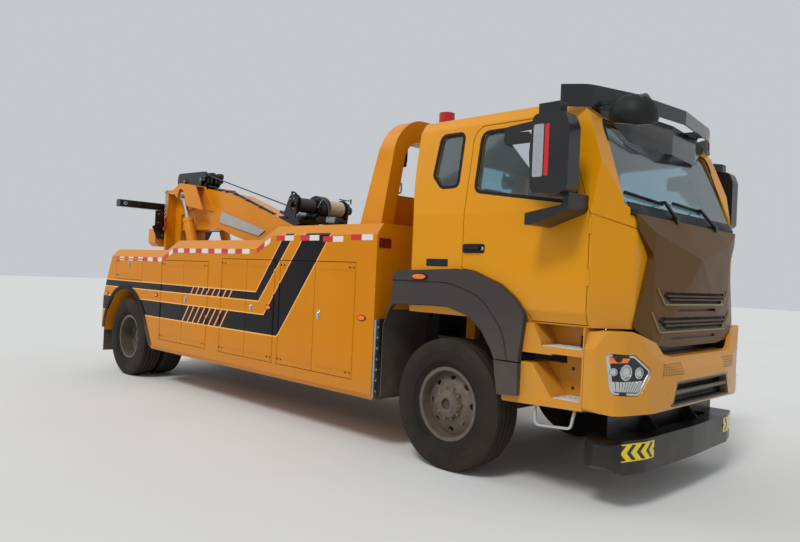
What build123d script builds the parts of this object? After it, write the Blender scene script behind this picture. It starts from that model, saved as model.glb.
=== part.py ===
from build123d import *
import math
import os

# Tow truck with a one-piece boom: a two-axle cab-over chassis, locker bodies along both
# sides, a telescoping boom hinged at its front foot, and an underlift arm folded up at
# the rear. Millimetres. X forward, Y left, Z up from the ground. Stations along the
# truck are measured from the front axle, and at() places them in the frame, whose
# origin is below the middle of the whole truck.

# Running gear
wheelbase = 5800
rear_axle_x = -wheelbase
tyre_radius = 530
tyre_width = 292
rim_radius = 292
rim_half = 105
rim_flange_radius = 298
rim_shell = 14
axle_height = tyre_radius
front_wheel_y = 1012
rear_outer_wheel_y = 1062
twin_spacing = 330
kingpin_y = 790
kingpin_radius = 24
spindle_radius = 45
hub_radius = 150
running_gap = 0.3

# Ladder frame
rail_outer_y = 430
rail_height = 280
rail_flange = 80
rail_wall = 9
rail_top = 990
rail_bottom = rail_top - rail_height
frame_front = 1180
frame_rear_x = rear_axle_x - 400

# Overall: the front reach is the bumper's, the rear reach the folded crossbar's
front_overhang = 1600
rear_reach_x = rear_axle_x - 1150
half_width = 1250
overall_length = front_overhang - rear_reach_x
front_axle_x = overall_length / 2 - front_overhang

# Cab
cab_rear = -430
cab_half_width = 1200
cab_floor = 1252
cab_front = 1445
belt_height = 2050
roof_height = 2910
gutter_height = roof_height - 145
roof_half_width = 1085
cab_wall = 40
door_rear = 165
door_front = 1250
door_top = roof_height - 165
door_sill = 1268
door_thickness = 60
door_gap = 6
window_top = roof_height - 220
glass_thickness = 6
glass_inset = 14
door_hinge_radius = 12
seam_depth = 8

# Front end
panel_top = 2037
panel_bottom = 1115
panel_front = 1550
bumper_top = 1240
bumper_dip = 1055
bumper_bottom = 672
bumper_side_rear = 1253
bumper_shell = 60
under_bar_bottom = 270
under_bar_top = 500
under_bar_half = 1070
visor_band_bottom = 2825
visor_band_top = 2932
visor_sheet = 12

# Fenders of the cab, and the step boxes in front of them
fender_proud = 46
liner_sheet = 8
step_box_rear = 744
step_depth = 280
step_well_depth = 215
upper_tread_z = 1098
lower_tread_z = 735

# Locker bodies
body_front = -760
body_rear = rear_axle_x - 750
body_bottom = 450
rim_low = 1740
rim_mid = 1860
rim_high = 2000
rim_lean = 70
body_wall = 30
body_inner_y = 540
arch_radius = 655
arch_lip = 58
deck_height = 1300
deck_plate = 10
deck_front = body_front - 30
deck_rear = rear_axle_x + 800
locker_sill = 600
locker_hinge_radius = 9

# Headboard hoop
hoop_half_width = 1120
hoop_top = 2950
hoop_bar = 150
hoop_corner = 300

# Boom
boom_pitch = 18
boom_foot_x = rear_axle_x + 2500
boom_foot_z = deck_height + 460
boom_pin_radius = 45
boom_plate = 14
boom_top = 285
inner_height = 290
inner_width = 300
slide_pad_gap = 0.5
mouth = 2500
cheek_thickness = 25
leg_front = rear_axle_x - 540
leg_rear = rear_axle_x - 780
leg_bottom = 620

# Lift cylinders
cylinder_y = 290
cylinder_base_x = rear_axle_x + 355
cylinder_base_z = rail_top + 210
rod_eye_x = rear_axle_x - 295
rod_eye_z = boom_foot_z + 840
barrel_radius = 75
barrel_bore = 58
barrel_length = 1155
rod_radius = 35
pin_radius = 30

# Underlift
underlift_x = rear_axle_x - 940
fold_pin_z = 720
fold_pin_radius = 40
arm_outer_width = 240
arm_outer_height = 220
arm_outer_top = 2100
arm_inner_width = 190
arm_inner_height = 150
crossbar_z = 2465
crossbar_height = 110
crossbar_half = 950
crossbar_depth = 130
swivel_radius = 35


def at(x):
    return front_axle_x + x


def fitted_radii(points, radii):
    # The corner radii, cut down where two of them would meet on one edge
    fitted = list(radii)
    count = len(points)
    reach = []
    for i in range(count):
        here = Vector(*points[i])
        before = (Vector(*points[i - 1]) - here).normalized()
        after = (Vector(*points[(i + 1) % count]) - here).normalized()
        half_angle = math.acos(max(-1, min(1, before.dot(after)))) / 2
        if half_angle > math.radians(89.5):
            fitted[i] = 0
        reach.append(1 / math.tan(half_angle))
    for i in range(count):
        j = (i + 1) % count
        room = (Vector(*points[j]) - Vector(*points[i])).length * 0.96
        used = fitted[i] * reach[i] + fitted[j] * reach[j]
        if used > room:
            fitted[i] *= room / used
            fitted[j] *= room / used
    return fitted


def outline(plane, corners):
    # A closed outline of (u, v) or (u, v, corner radius) points
    points = [corner[:2] for corner in corners]
    radii = fitted_radii(points, [corner[2] if len(corner) == 3 else 0 for corner in corners])
    with BuildSketch(plane) as sketch:
        with BuildLine():
            if any(radii):
                FilletPolyline(*points, radius=radii, close=True)
            else:
                Polyline(*points, close=True)
        make_face()
    return sketch.sketch


def across(corners, y_low, y_high, mode=Mode.ADD):
    # A side outline of (station, height) points, extruded between two widths
    placed = [(at(x), *rest) for x, *rest in corners]
    return extrude(outline(Plane.XZ.offset(-y_high), placed), amount=y_high - y_low, mode=mode)


def along(corners, x_low, x_high, mode=Mode.ADD):
    # A front outline of (width, height) points, extruded between two stations
    return extrude(outline(Plane.YZ.offset(at(x_low)), corners), amount=x_high - x_low, mode=mode)


def upward(corners, z_low, z_high, mode=Mode.ADD):
    # A plan outline of (station, width) points, extruded between two heights
    placed = [(at(x), *rest) for x, *rest in corners]
    return extrude(outline(Plane.XY.offset(z_low), placed), amount=z_high - z_low, mode=mode)


def block(x_low, x_high, y_low, y_high, z_low, z_high, mode=Mode.ADD):
    return upward([(x_low, y_low), (x_high, y_low), (x_high, y_high), (x_low, y_high)], z_low, z_high, mode)


def disc_y(x, z, radius, y_low, y_high, mode=Mode.ADD):
    # A cylinder lying across the truck
    with BuildSketch(Plane.XZ.offset(-y_high)) as circle:
        with Locations((at(x), z)):
            Circle(radius)
    return extrude(circle.sketch, amount=y_high - y_low, mode=mode)


def disc_z(x, y, radius, z_low, z_high, mode=Mode.ADD):
    with BuildSketch(Plane.XY.offset(z_low)) as circle:
        with Locations((at(x), y)):
            Circle(radius)
    return extrude(circle.sketch, amount=z_high - z_low, mode=mode)


def disc_x(y, z, radius, x_low, x_high, mode=Mode.ADD):
    with BuildSketch(Plane.YZ.offset(at(x_low))) as circle:
        with Locations((y, z)):
            Circle(radius)
    return extrude(circle.sketch, amount=x_high - x_low, mode=mode)


def span(side, near, far):
    # The two widths of a piece on one side, lower one first
    return sorted((side * near, side * far))


def closed_half(half):
    # A whole plan outline from one half, whose ends may lie on the middle line
    return half + [(x, -y, *rest) for x, y, *rest in reversed(half) if y != 0]


def mirrored_front(corners):
    # The other half of a front outline whose width comes first in each point
    return corners + [(-y, z, *rest) for y, z, *rest in reversed(corners) if y != 0]


def save(builder, name):
    builder.part.label = name
    export_step(builder.part, "parts/" + name + ".step")


os.makedirs("parts", exist_ok=True)


# Chassis frame: two C rails and their cross members
def c_rail(side):
    outer = side * rail_outer_y
    web = side * (rail_outer_y - rail_wall)
    lip = side * (rail_outer_y - rail_flange)
    points = [
        (outer, rail_bottom),
        (outer, rail_top),
        (lip, rail_top),
        (lip, rail_top - rail_wall),
        (web, rail_top - rail_wall),
        (web, rail_bottom + rail_wall),
        (lip, rail_bottom + rail_wall),
        (lip, rail_bottom),
    ]
    along(points, frame_rear_x, frame_front)


cross_member_stations = [
    frame_rear_x,
    rear_axle_x + 600,
    rear_axle_x + 1800,
    rear_axle_x + 3100,
    rear_axle_x + 4500,
    frame_front - 140,
]
cross_member_length = 90
cross_member_height = 160

with BuildPart() as chassis_frame:
    for side in (-1, 1):
        c_rail(side)
    for station in cross_member_stations:
        block(
            station,
            station + cross_member_length,
            -rail_outer_y + rail_wall,
            rail_outer_y - rail_wall,
            rail_top - rail_wall - cross_member_height,
            rail_top - rail_wall,
        )
save(chassis_frame, "chassis_frame")

# Front axle beam: a forged beam dropped below the engine, with a kingpin eye at each end
beam_drop_z = 400
beam_section = 90
eye_radius = 52
eye_height = 100
half_beam = [
    (440, beam_drop_z, 80),
    (540, axle_height - 90, 60),
    (kingpin_y - 40, axle_height - beam_section / 2),
    (kingpin_y - 40, axle_height + beam_section / 2),
    (560, axle_height + 10, 60),
    (480, beam_drop_z + beam_section, 60),
]
with BuildPart() as front_axle_beam:
    along(mirrored_front(half_beam), -beam_section / 2, beam_section / 2)
    for side in (-1, 1):
        eye = (0, side * kingpin_y)
        disc_z(*eye, eye_radius, axle_height - eye_height / 2, axle_height + eye_height / 2)
        disc_z(
            *eye,
            kingpin_radius + running_gap,
            axle_height - eye_height,
            axle_height + eye_height,
            Mode.SUBTRACT,
        )
save(front_axle_beam, "front_axle_beam")

# Steering knuckles: a fork round the beam's eye, the kingpin, and the wheel spindle
fork_plate = 30
fork_gap = 1
spindle_end_y = 1110
knuckle_back_y = kingpin_y + eye_radius + 6


def knuckle(side):
    low = axle_height - eye_height / 2 - fork_gap
    high = axle_height + eye_height / 2 + fork_gap
    back = span(side, knuckle_back_y, knuckle_back_y + fork_plate)
    with BuildPart() as part:
        for z_low, z_high in ((low - fork_plate, low), (high, high + fork_plate)):
            disc_z(0, side * kingpin_y, eye_radius, z_low, z_high)
            block(
                -eye_radius,
                eye_radius,
                *span(side, kingpin_y, knuckle_back_y + fork_plate),
                z_low,
                z_high,
            )
        block(-eye_radius, eye_radius, *back, low - fork_plate, high + fork_plate)
        disc_z(0, side * kingpin_y, kingpin_radius, low - fork_plate, high + fork_plate)
        disc_y(0, axle_height, spindle_radius, *span(side, knuckle_back_y, spindle_end_y))
    return part


for side, name in ((-1, "knuckle_right"), (1, "knuckle_left")):
    save(knuckle(side), name)


# Wheels: a tyre with round shoulders, and a disc wheel with its hand holes and hub
def turned(corners, station, mode=Mode.ADD):
    # A profile of (radius, width) points turned about the axle line at a station
    plane = Plane(origin=(at(station), 0, axle_height), x_dir=(0, 0, 1), z_dir=(-1, 0, 0))
    axis = Axis((at(station), 0, axle_height), (0, 1, 0))
    return revolve(outline(plane, corners), axis=axis, mode=mode)


tyre_bead_half = rim_half - 21
tyre_shoulder = 30


def tyre_profile(y_middle):
    half = tyre_width / 2
    bead = rim_radius + running_gap
    outer_half = [
        (bead, tyre_bead_half),
        (rim_flange_radius + 1, tyre_bead_half + 12),
        (rim_flange_radius + 1, rim_half + 8, 4),
        (bead + 100, half, 90),
        (tyre_radius - 70, half * 0.985, 30),
        (tyre_radius - 8, half * 0.86, tyre_shoulder),
        (tyre_radius, half * 0.45),
    ]
    upper = [(r, y_middle + y, *rest) for r, y, *rest in outer_half]
    lower = [(r, y_middle - y, *rest) for r, y, *rest in reversed(outer_half)]
    return upper + lower


def hand_holes(station, radius, count, size, y_low, y_high):
    # Oval holes round the disc, each longer round the wheel than across it
    plane = Plane(origin=(at(station), y_high, axle_height), x_dir=(1, 0, 0), z_dir=(0, -1, 0))
    with BuildSketch(plane) as holes:
        with PolarLocations(radius, count):
            Ellipse(size / 2, size * 0.75)
    extrude(holes.sketch, amount=y_high - y_low, mode=Mode.SUBTRACT)


front_disc_bulge = 60
hand_hole_radius = 207
hand_hole_size = 36
hub_barrel_length = 120
hub_cap_length = 60


def front_rim_profile(side):
    # Rim barrel and flange, and the disc, which bulges towards the outside
    middle = side * front_wheel_y
    face = middle + side * front_disc_bulge
    inner_edge = middle - side * rim_half
    outer_edge = middle + side * rim_half
    return [
        (spindle_radius + running_gap, face - side * hub_barrel_length),
        (hub_radius - 20, face - side * hub_barrel_length),
        (hub_radius, face - side * rim_shell),
        (rim_radius - 70, middle + side * (front_disc_bulge * 0.55 - rim_shell)),
        (rim_radius - 40, middle - side * 40),
        (rim_radius - rim_shell - 18, inner_edge),
        (rim_flange_radius, inner_edge - side * 4),
        (rim_flange_radius, inner_edge + side * 8),
        (rim_radius, inner_edge + side * 20),
        (rim_radius, outer_edge - side * 20),
        (rim_flange_radius, outer_edge - side * 8),
        (rim_flange_radius, outer_edge + side * 4),
        (rim_radius - rim_shell - 10, outer_edge),
        (rim_radius - rim_shell - 16, middle + side * 20),
        (rim_radius - 62, middle + side * front_disc_bulge * 0.55),
        (hub_radius, face),
        (hub_radius - 22, face + side * 6),
        (hub_radius - 42, face + side * 44),
        (spindle_radius + 20, face + side * hub_cap_length),
        (spindle_radius + running_gap, face + side * hub_cap_length),
    ]


def front_wheel(side):
    with BuildPart() as tyre:
        turned(tyre_profile(side * front_wheel_y), 0)
    with BuildPart() as rim:
        turned(front_rim_profile(side), 0)
        hand_holes(
            0, hand_hole_radius, 8, hand_hole_size, *span(side, front_wheel_y - 20, front_wheel_y + 90),
        )
    return tyre, rim


rear_hub_inner = 560
twin_disc_y = rear_outer_wheel_y - twin_spacing / 2
twin_hub_cap = 140


def rear_rim_profile(side):
    # Both rims of the twin wheel, whose discs are bolted back to back on one hub
    outer = side * rear_outer_wheel_y
    inner = side * (rear_outer_wheel_y - twin_spacing)
    disc = side * twin_disc_y
    return [
        (spindle_radius + running_gap, side * rear_hub_inner),
        (hub_radius + 20, side * rear_hub_inner),
        (hub_radius + 20, disc - side * rim_shell),
        (rim_radius - 60, disc - side * rim_shell),
        (rim_radius - 22, inner + side * 60),
        (rim_radius - 22, inner - side * rim_half),
        (rim_flange_radius, inner - side * (rim_half + 4)),
        (rim_flange_radius, inner - side * (rim_half - 8)),
        (rim_radius, inner - side * (rim_half - 20)),
        (rim_radius, outer + side * (rim_half - 20)),
        (rim_flange_radius, outer + side * (rim_half - 8)),
        (rim_flange_radius, outer + side * (rim_half + 4)),
        (rim_radius - 22, outer + side * rim_half),
        (rim_radius - 22, outer - side * 60),
        (rim_radius - 60, disc + side * rim_shell),
        (hub_radius, disc + side * rim_shell),
        (hub_radius - 20, disc + side * (twin_hub_cap - 20)),
        (hub_radius - 60, disc + side * twin_hub_cap),
        (spindle_radius + running_gap, disc + side * twin_hub_cap),
    ]


def rear_wheels(side):
    with BuildPart() as tyres:
        turned(tyre_profile(side * rear_outer_wheel_y), rear_axle_x)
        turned(tyre_profile(side * (rear_outer_wheel_y - twin_spacing)), rear_axle_x)
    with BuildPart() as rims:
        turned(rear_rim_profile(side), rear_axle_x)
        hand_holes(
            rear_axle_x,
            hub_radius + 45,
            8,
            hand_hole_size,
            *span(side, twin_disc_y - 30, twin_disc_y + 30),
        )
    return tyres, rims


for side, word in ((-1, "right"), (1, "left")):
    tyre, rim = front_wheel(side)
    save(tyre, "front_tyre_" + word)
    save(rim, "front_rim_" + word)
    tyres, rims = rear_wheels(side)
    save(tyres, "rear_tyres_" + word)
    save(rims, "rear_rims_" + word)

# Rear drive axle: housing with its round differential, end spindles, and the drive shaft
diff_radius = 220
housing_radius = 75
shaft_radius = 55
engine_rear = -560
shaft_front_z = 690
spindle_out_y = twin_disc_y + 130
with BuildPart() as rear_axle:
    disc_y(rear_axle_x, axle_height, housing_radius, -rear_hub_inner + 10, rear_hub_inner - 10)
    disc_y(rear_axle_x, axle_height, spindle_radius, -spindle_out_y, spindle_out_y)
    with Locations((at(rear_axle_x), 0, axle_height)):
        Sphere(diff_radius)
    shaft_run = Vector(engine_rear - 4 - rear_axle_x, 0, shaft_front_z - axle_height)
    shaft_plane = Plane(origin=(at(rear_axle_x), 0, axle_height), z_dir=shaft_run.normalized())
    with BuildSketch(shaft_plane) as shaft_circle:
        Circle(shaft_radius)
    extrude(amount=shaft_run.length)
save(rear_axle, "rear_axle")

# Leaf springs: one arched pack under each rail end, seated on its axle
front_spring_half = 800
rear_spring_half = 780
spring_y = 385
spring_half_width = 40
leaf_eye = 25


def leaf_pack(station, half, seat_z, thickness, y_low, y_high):
    points = [
        (station - half, rail_bottom),
        (station - half * 0.4, seat_z + thickness * 0.7),
        (station + half * 0.4, seat_z + thickness * 0.7),
        (station + half, rail_bottom),
        (station + half, rail_bottom - leaf_eye),
        (station + half * 0.35, seat_z),
        (station - half * 0.35, seat_z),
        (station - half, rail_bottom - leaf_eye),
    ]
    across(points, y_low, y_high)


with BuildPart() as springs:
    for side in (-1, 1):
        widths = span(side, spring_y - spring_half_width, spring_y + spring_half_width)
        leaf_pack(0, front_spring_half, beam_drop_z + beam_section, 90, *widths)
        leaf_pack(rear_axle_x, rear_spring_half, axle_height + housing_radius, 60, *widths)
save(springs, "springs")

# Engine and gearbox: one plain block between the rails, on two mounting bars
engine_half_width = 330
engine_side = [
    (820, 560),
    (820, 1140, 60),
    (-300, 1140, 60),
    (-300, 980),
    (engine_rear, 860),
    (engine_rear, 600),
    (-300, 560),
]
mount_bar_height = 70
mount_stations = [-200, 650]
mount_bar_length = 100
with BuildPart() as engine_block:
    across(engine_side, -engine_half_width, engine_half_width)
    for station in mount_stations:
        block(
            station,
            station + mount_bar_length,
            -rail_outer_y + rail_wall,
            rail_outer_y - rail_wall,
            rail_bottom + rail_wall,
            rail_bottom + rail_wall + mount_bar_height,
        )
save(engine_block, "engine_block")


# Cab: one form, trimmed by its side, front and plan outlines, shrunk by an inset for
# the inner skin. The door, its glass and the shell are all cut from this form.
tumble_under = 35
tumble_height = 95
cab_corner_y = 900
cab_corner_rear_x = 1262
cab_rear_corner = 80
trim_margin = 15


def cab_form(inset, low):
    top = roof_height - inset
    side_view = [
        (cab_rear + inset, low),
        (cab_rear + inset, top + trim_margin, 120),
        (830, top + trim_margin, 300),
        (1080 - inset, top - 75, 60),
        (1165 - inset, top - 185, 60),
        (1425 - inset, panel_top + 5),
        (cab_front - inset, panel_top - 80),
        (cab_front - inset, low),
    ]
    half = cab_half_width - inset
    roof_half = roof_half_width - inset
    front_half = [
        (half - tumble_under * 1.5, cab_floor - tumble_height / 2),
        (half, cab_floor + tumble_height, 60),
        (half, belt_height, 200),
        (roof_half + 12, gutter_height - inset),
        (roof_half, gutter_height + 12 - inset),
        (roof_half - 40, top - 60, 60),
        (roof_half - 200, top - 10, 200),
        (0, top),
    ]
    plan_half = [
        (cab_rear + inset - 1, 0),
        (cab_rear + inset - 1, half + 1, max(cab_rear_corner - inset, 5)),
        (cab_corner_rear_x, half + 1, 25),
        (cab_front - inset + 1, cab_corner_y - inset, 100),
        (cab_front - inset + 1, 0),
    ]
    with BuildPart() as form:
        across(side_view, -half - trim_margin, half + trim_margin)
        along(mirrored_front(front_half), cab_rear - trim_margin, cab_front + trim_margin, Mode.INTERSECT)
        upward(closed_half(plan_half), low - trim_margin, roof_height + trim_margin, Mode.INTERSECT)
    return form.part


def door_outline(grow):
    return [
        (door_rear - grow, 1625 - grow, 20),
        (door_rear - grow, door_top - 105 + grow),
        (door_rear + 20 - grow, door_top - 45 + grow, 40),
        (door_rear + 75 - grow, door_top + grow, 40),
        (968 + grow * 0.5, door_top + grow, 50),
        (door_front + grow, 2020, 60),
        (door_front + grow, door_sill - grow),
        (812 - grow, door_sill - grow),
        (803 - grow, 1300 - grow * 0.6),
        (712 - grow * 0.8, 1414 - grow * 0.8),
        (566 - grow * 0.6, 1516 - grow),
        (302, 1608 - grow),
    ]


def window_outline(grow):
    return [
        (248 - grow, 2235 - grow, 60),
        (252 - grow, window_top - 5 + grow, 60),
        (930 + grow * 0.5, window_top + grow, 60),
        (1120 + grow, 2250, 50),
        (1120 + grow, 2110 - grow, 50),
    ]


quarter_window = [
    (-205, 2385, 40),
    (-175, window_top + 15, 50),
    (50, window_top + 15, 50),
    (50, 2285, 40),
    (-110, 2285, 60),
]
rear_window = [(-520, 2150, 60), (520, 2150, 60), (520, 2600, 60), (-520, 2600, 60)]
windscreen_bottom = panel_top + 45
windscreen_top = roof_height - 195
windscreen_opening = [
    (-1010, windscreen_bottom, 60),
    (1010, windscreen_bottom, 60),
    (930, windscreen_top, 80),
    (-930, windscreen_top, 80),
]
cowl_seam = [(1256, 2020), (1256, 2028), (1460, 1934), (1460, 1926)]
cowl_seam_inner_y = 885

outer_form = cab_form(0, cab_floor)
inner_form = cab_form(cab_wall, cab_floor + cab_wall)
seam_form = cab_form(seam_depth, cab_floor)
door_inner_form = cab_form(door_thickness, cab_floor)
pane_outer = cab_form(glass_inset, cab_floor + 1)
pane_inner = cab_form(glass_inset + glass_thickness, cab_floor)
hinge_x = door_front + 4
hinge_y = cab_half_width - 4
hinge_levels = [(1530, 1650), (1880, 2000)]
hinge_clearance = 2
cab_mount_stations = [cab_rear + 40, 1000]
cab_mount_length = 100

with BuildPart() as cab_shell:
    add(outer_form)
    add(inner_form, mode=Mode.SUBTRACT)
    for side in (-1, 1):
        opening = span(side, cab_half_width - 230, cab_half_width + 20)
        across(door_outline(door_gap), *opening, Mode.SUBTRACT)
        across(quarter_window, *opening, Mode.SUBTRACT)
        for z_low, z_high in hinge_levels:
            disc_z(hinge_x, side * hinge_y, door_hinge_radius + running_gap, z_low, z_high, Mode.SUBTRACT)
    along(rear_window, cab_rear - 10, cab_rear + cab_wall + 10, Mode.SUBTRACT)
    along(windscreen_opening, 1000, cab_front + 1, Mode.SUBTRACT)
    with BuildPart(mode=Mode.PRIVATE) as seams:
        for side in (-1, 1):
            across(cowl_seam, *span(side, cowl_seam_inner_y, cab_half_width))
        add(seam_form, mode=Mode.SUBTRACT)
    add(seams.part, mode=Mode.SUBTRACT)
    for side in (-1, 1):
        for station in cab_mount_stations:
            block(
                station,
                station + cab_mount_length,
                *span(side, rail_outer_y - rail_flange, rail_outer_y),
                rail_top,
                cab_floor,
            )
save(cab_shell, "cab_shell")

# Fixed panes: windscreen, quarter windows and rear window, cut from the cab's form
with BuildPart() as cab_glass:
    add(pane_outer)
    add(pane_inner, mode=Mode.SUBTRACT)
    with BuildPart(mode=Mode.PRIVATE) as panes:
        along(windscreen_opening, 1060, cab_front + 1)
        across(quarter_window, -cab_half_width, cab_half_width)
        along(rear_window, cab_rear, cab_rear + cab_wall)
    add(panes.part, mode=Mode.INTERSECT)
save(cab_glass, "cab_glass")


# Cab doors with their hinge barrels, and the pane of each
def cab_door(side):
    widths = span(side, cab_half_width - 260, cab_half_width + 20)
    with BuildPart() as door:
        add(outer_form)
        add(door_inner_form, mode=Mode.SUBTRACT)
        across(door_outline(0), *widths, Mode.INTERSECT)
        across(window_outline(0), *widths, Mode.SUBTRACT)
        for z_low, z_high in hinge_levels:
            barrel = (z_low + hinge_clearance, z_high - hinge_clearance)
            disc_z(hinge_x, side * hinge_y, door_hinge_radius, *barrel)
    with BuildPart() as glass:
        add(pane_outer)
        add(pane_inner, mode=Mode.SUBTRACT)
        across(window_outline(0), *widths, Mode.INTERSECT)
    return door, glass


# Door mirrors: main and wide-angle heads on a bowed arm held at belt and window top
mirror_y = 1450
mirror_half_depth = 70
mirror_head = [
    (985, 2135, 40),
    (962, 2400, 100),
    (985, 2658, 40),
    (1225, 2658, 60),
    (1262, 2560, 40),
    (1262, 2150, 40),
    (1200, 2120, 20),
]
mirror_top_arm = [(870, 1080), (960, 1080), (1160, 1390, 60), (1160, 1480), (1000, 1480), (1000, 1400, 40)]
mirror_low_arm = [
    (900, 1930),
    (900, 2010),
    (1195, 2060, 30),
    (1195, 2140),
    (1235, 2140),
    (1235, 2025, 40),
    (960, 1930),
]
wide_head = [
    (665, 2500, 30),
    (665, 2630, 40),
    (930, 2650),
    (1000, 2700),
    (1000, 2600, 20),
    (900, 2500, 30),
]


def door_mirror(side):
    with BuildPart() as part:
        across(mirror_head, *span(side, mirror_y - mirror_half_depth, mirror_y + mirror_half_depth))
        upward([(x, side * y, *rest) for x, y, *rest in mirror_top_arm], 2659, 2735)
        across(mirror_low_arm, *span(side, cab_half_width - 4, mirror_y))
        across(wide_head, *span(side, 1300, 1400))
        add(outer_form, mode=Mode.SUBTRACT)
    return part


for side, word in ((-1, "right"), (1, "left")):
    door, glass = cab_door(side)
    save(door, "cab_door_" + word)
    save(glass, "door_glass_" + word)
    save(door_mirror(side), "door_mirror_" + word)

# Front panel: the dark grille panel hung on the cab's front wall. It bows in plan and in
# side view, and two framed air slots and two thin ones are cut through it.
panel_half = [
    (930, panel_top),
    (898, panel_top - 111),
    (722, 1762, 40),
    (925, 1262, 30),
    (672, 1140, 60),
    (450, panel_bottom),
]
panel_back = cab_front + running_gap
panel_side = [
    (panel_back, panel_bottom),
    (panel_back, panel_top),
    (cab_front + 12, panel_top),
    (panel_front, 1765, 60),
    (panel_front - 50, panel_bottom),
]
panel_plan_half = [(panel_back, 1000), (1452, 960), (1496, 710, 200), (panel_front, 0)]
air_slots = [
    # upper half width, its height, middle half width, its height, lower half width, its height
    (560, 1515, 580, 1487, 474, 1432),
    (620, 1335, 640, 1310, 527, 1243),
]
thin_slots = [
    # half width, low height, high height
    (375, 1375, 1395),
    (420, 1172, 1193),
]
bezel_width = 95
bezel_relief = 12
slot_depth = 60


def slot_outline(row, grow, rise):
    top_half, top_z, middle_half, middle_z, low_half, low_z = row
    half = [
        (top_half + grow, top_z + rise, 10),
        (middle_half + grow, middle_z, 10),
        (low_half + grow * 0.4, low_z - rise * 0.3, 20),
    ]
    return mirrored_front(half)


with BuildPart() as front_panel:
    across(panel_side, -1000, 1000)
    upward(closed_half(panel_plan_half), panel_bottom, panel_top, Mode.INTERSECT)
    along(mirrored_front(panel_half), cab_front, front_overhang, Mode.INTERSECT)
    for row in air_slots:
        along(slot_outline(row, bezel_width, 36), panel_front - bezel_relief, front_overhang, Mode.SUBTRACT)
    for row in air_slots:
        along(slot_outline(row, 0, 0), panel_front - slot_depth, front_overhang, Mode.SUBTRACT)
    for half, z_low, z_high in thin_slots:
        strip = [(-half, z_low), (half, z_low), (half - 20, z_high), (-half + 20, z_high)]
        along(strip, panel_front - slot_depth, front_overhang, Mode.SUBTRACT)
save(front_panel, "front_panel")

# Bumper: a wrapped shell that dips below the panel, with lamp pockets, a closed shelf,
# a framed air opening with one bar across it, and side mouths by the step boxes
bumper_half_plan = [
    (bumper_side_rear, 1200),
    (1330, 1197, 60),
    (1462, 1090, 160),
    (1545, 820, 200),
    (front_overhang, 420, 400),
    (front_overhang, 0),
]
bumper_cavity_half_plan = [
    (bumper_side_rear - 5, 1200 - bumper_shell),
    (1320, 1135, 40),
    (1400, 1050, 120),
    (1480, 800, 160),
    (front_overhang - bumper_shell, 400, 300),
    (front_overhang - bumper_shell, 0),
]
bumper_half_front = [
    (0, bumper_dip),
    (513, bumper_dip),
    (640, 1078, 40),
    (709, 1157, 30),
    (1000, bumper_top, 40),
    (1150, bumper_top, 60),
    (1200, 1110),
    (1200, 700, 30),
    (1120, bumper_bottom + 8, 60),
    (0, bumper_bottom),
]
bumper_shelf = 25
bumper_side_view = [
    (bumper_side_rear - 5, bumper_bottom),
    (bumper_side_rear - 5, bumper_top),
    (front_overhang - 95, bumper_top),
    (front_overhang - 40, bumper_dip - 20, 30),
    (front_overhang, 950, 100),
    (front_overhang, 760, 30),
    (front_overhang - 50, bumper_bottom),
]
lamp_outline = [(1154, 1094, 25), (960, 1083, 60), (798, 971, 40), (909, 804, 50), (1129, 817, 40)]
lamp_recess = 12
lamp_pocket_x = 1330
air_recess = [(557, 890, 30), (730, 744, 30)]
air_opening = [(473, 876, 20), (544, 703, 20)]
air_bar_z = (792, 812)
recess_depth = 14
bumper_bracket_top = rail_top - 40
bumper_bracket_low = rail_bottom + 180


with BuildPart() as bumper:
    upward(closed_half(bumper_half_plan), bumper_bottom, bumper_top)
    across(bumper_side_view, -1200, 1200, Mode.INTERSECT)
    with BuildPart(mode=Mode.PRIVATE) as bumper_cavity:
        upward(closed_half(bumper_cavity_half_plan), bumper_bottom - 1, bumper_top + 1)
        block(1380, front_overhang, -700, 700, bumper_dip - bumper_shelf, bumper_dip + 1, Mode.SUBTRACT)
    add(bumper_cavity.part, mode=Mode.SUBTRACT)
    front_outline = bumper_half_front[1:-1]
    along(mirrored_front(front_outline), bumper_side_rear, front_overhang, Mode.INTERSECT)
    for side in (-1, 1):
        along(
            [(side * y, *rest) for y, *rest in lamp_outline],
            lamp_pocket_x,
            front_overhang,
            Mode.SUBTRACT,
        )
    along(mirrored_front(air_recess), front_overhang - recess_depth, front_overhang, Mode.SUBTRACT)
    along(mirrored_front(air_opening), 1400, front_overhang, Mode.SUBTRACT)
    block(front_overhang - bumper_shell + 5, front_overhang - 20, -600, 600, *air_bar_z)
    for side in (-1, 1):
        bracket = span(side, rail_outer_y - rail_flange, rail_outer_y)
        block(frame_front, 1560, *bracket, bumper_bracket_low, bumper_bracket_top)
save(bumper, "bumper")

# Under bar: a low black under-run bar with rounded ends, hung from the rails
under_bar_plan_half = [
    (1180, 700),
    (1180, under_bar_half - 60),
    (1290, under_bar_half, 60),
    (1440, under_bar_half - 30, 90),
    (1512, 760, 200),
    (1532, 0),
]
under_bar_back_half = [(1400, 0), (1380, 650, 60)]
bar_edge = 40
hanger = [
    (1100, rail_bottom),
    (frame_front, rail_bottom),
    (1440, under_bar_top - 20),
    (1440, under_bar_bottom + 30),
    (1300, under_bar_bottom + 30),
    (1100, 560),
]
with BuildPart() as under_bar:
    upward(closed_half(under_bar_back_half + under_bar_plan_half), under_bar_bottom, under_bar_top)
    bar_front = [
        (under_bar_half, under_bar_bottom + bar_edge, 60),
        (under_bar_half, under_bar_top - bar_edge, 60),
        (under_bar_half - 90, under_bar_top),
    ]
    bar_front = [(under_bar_half - 90, under_bar_bottom)] + bar_front
    along(mirrored_front(bar_front), 1100, front_overhang, Mode.INTERSECT)
    for side in (-1, 1):
        across(hanger, *span(side, rail_outer_y - rail_flange, rail_outer_y - 40))
save(under_bar, "under_bar")

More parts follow.
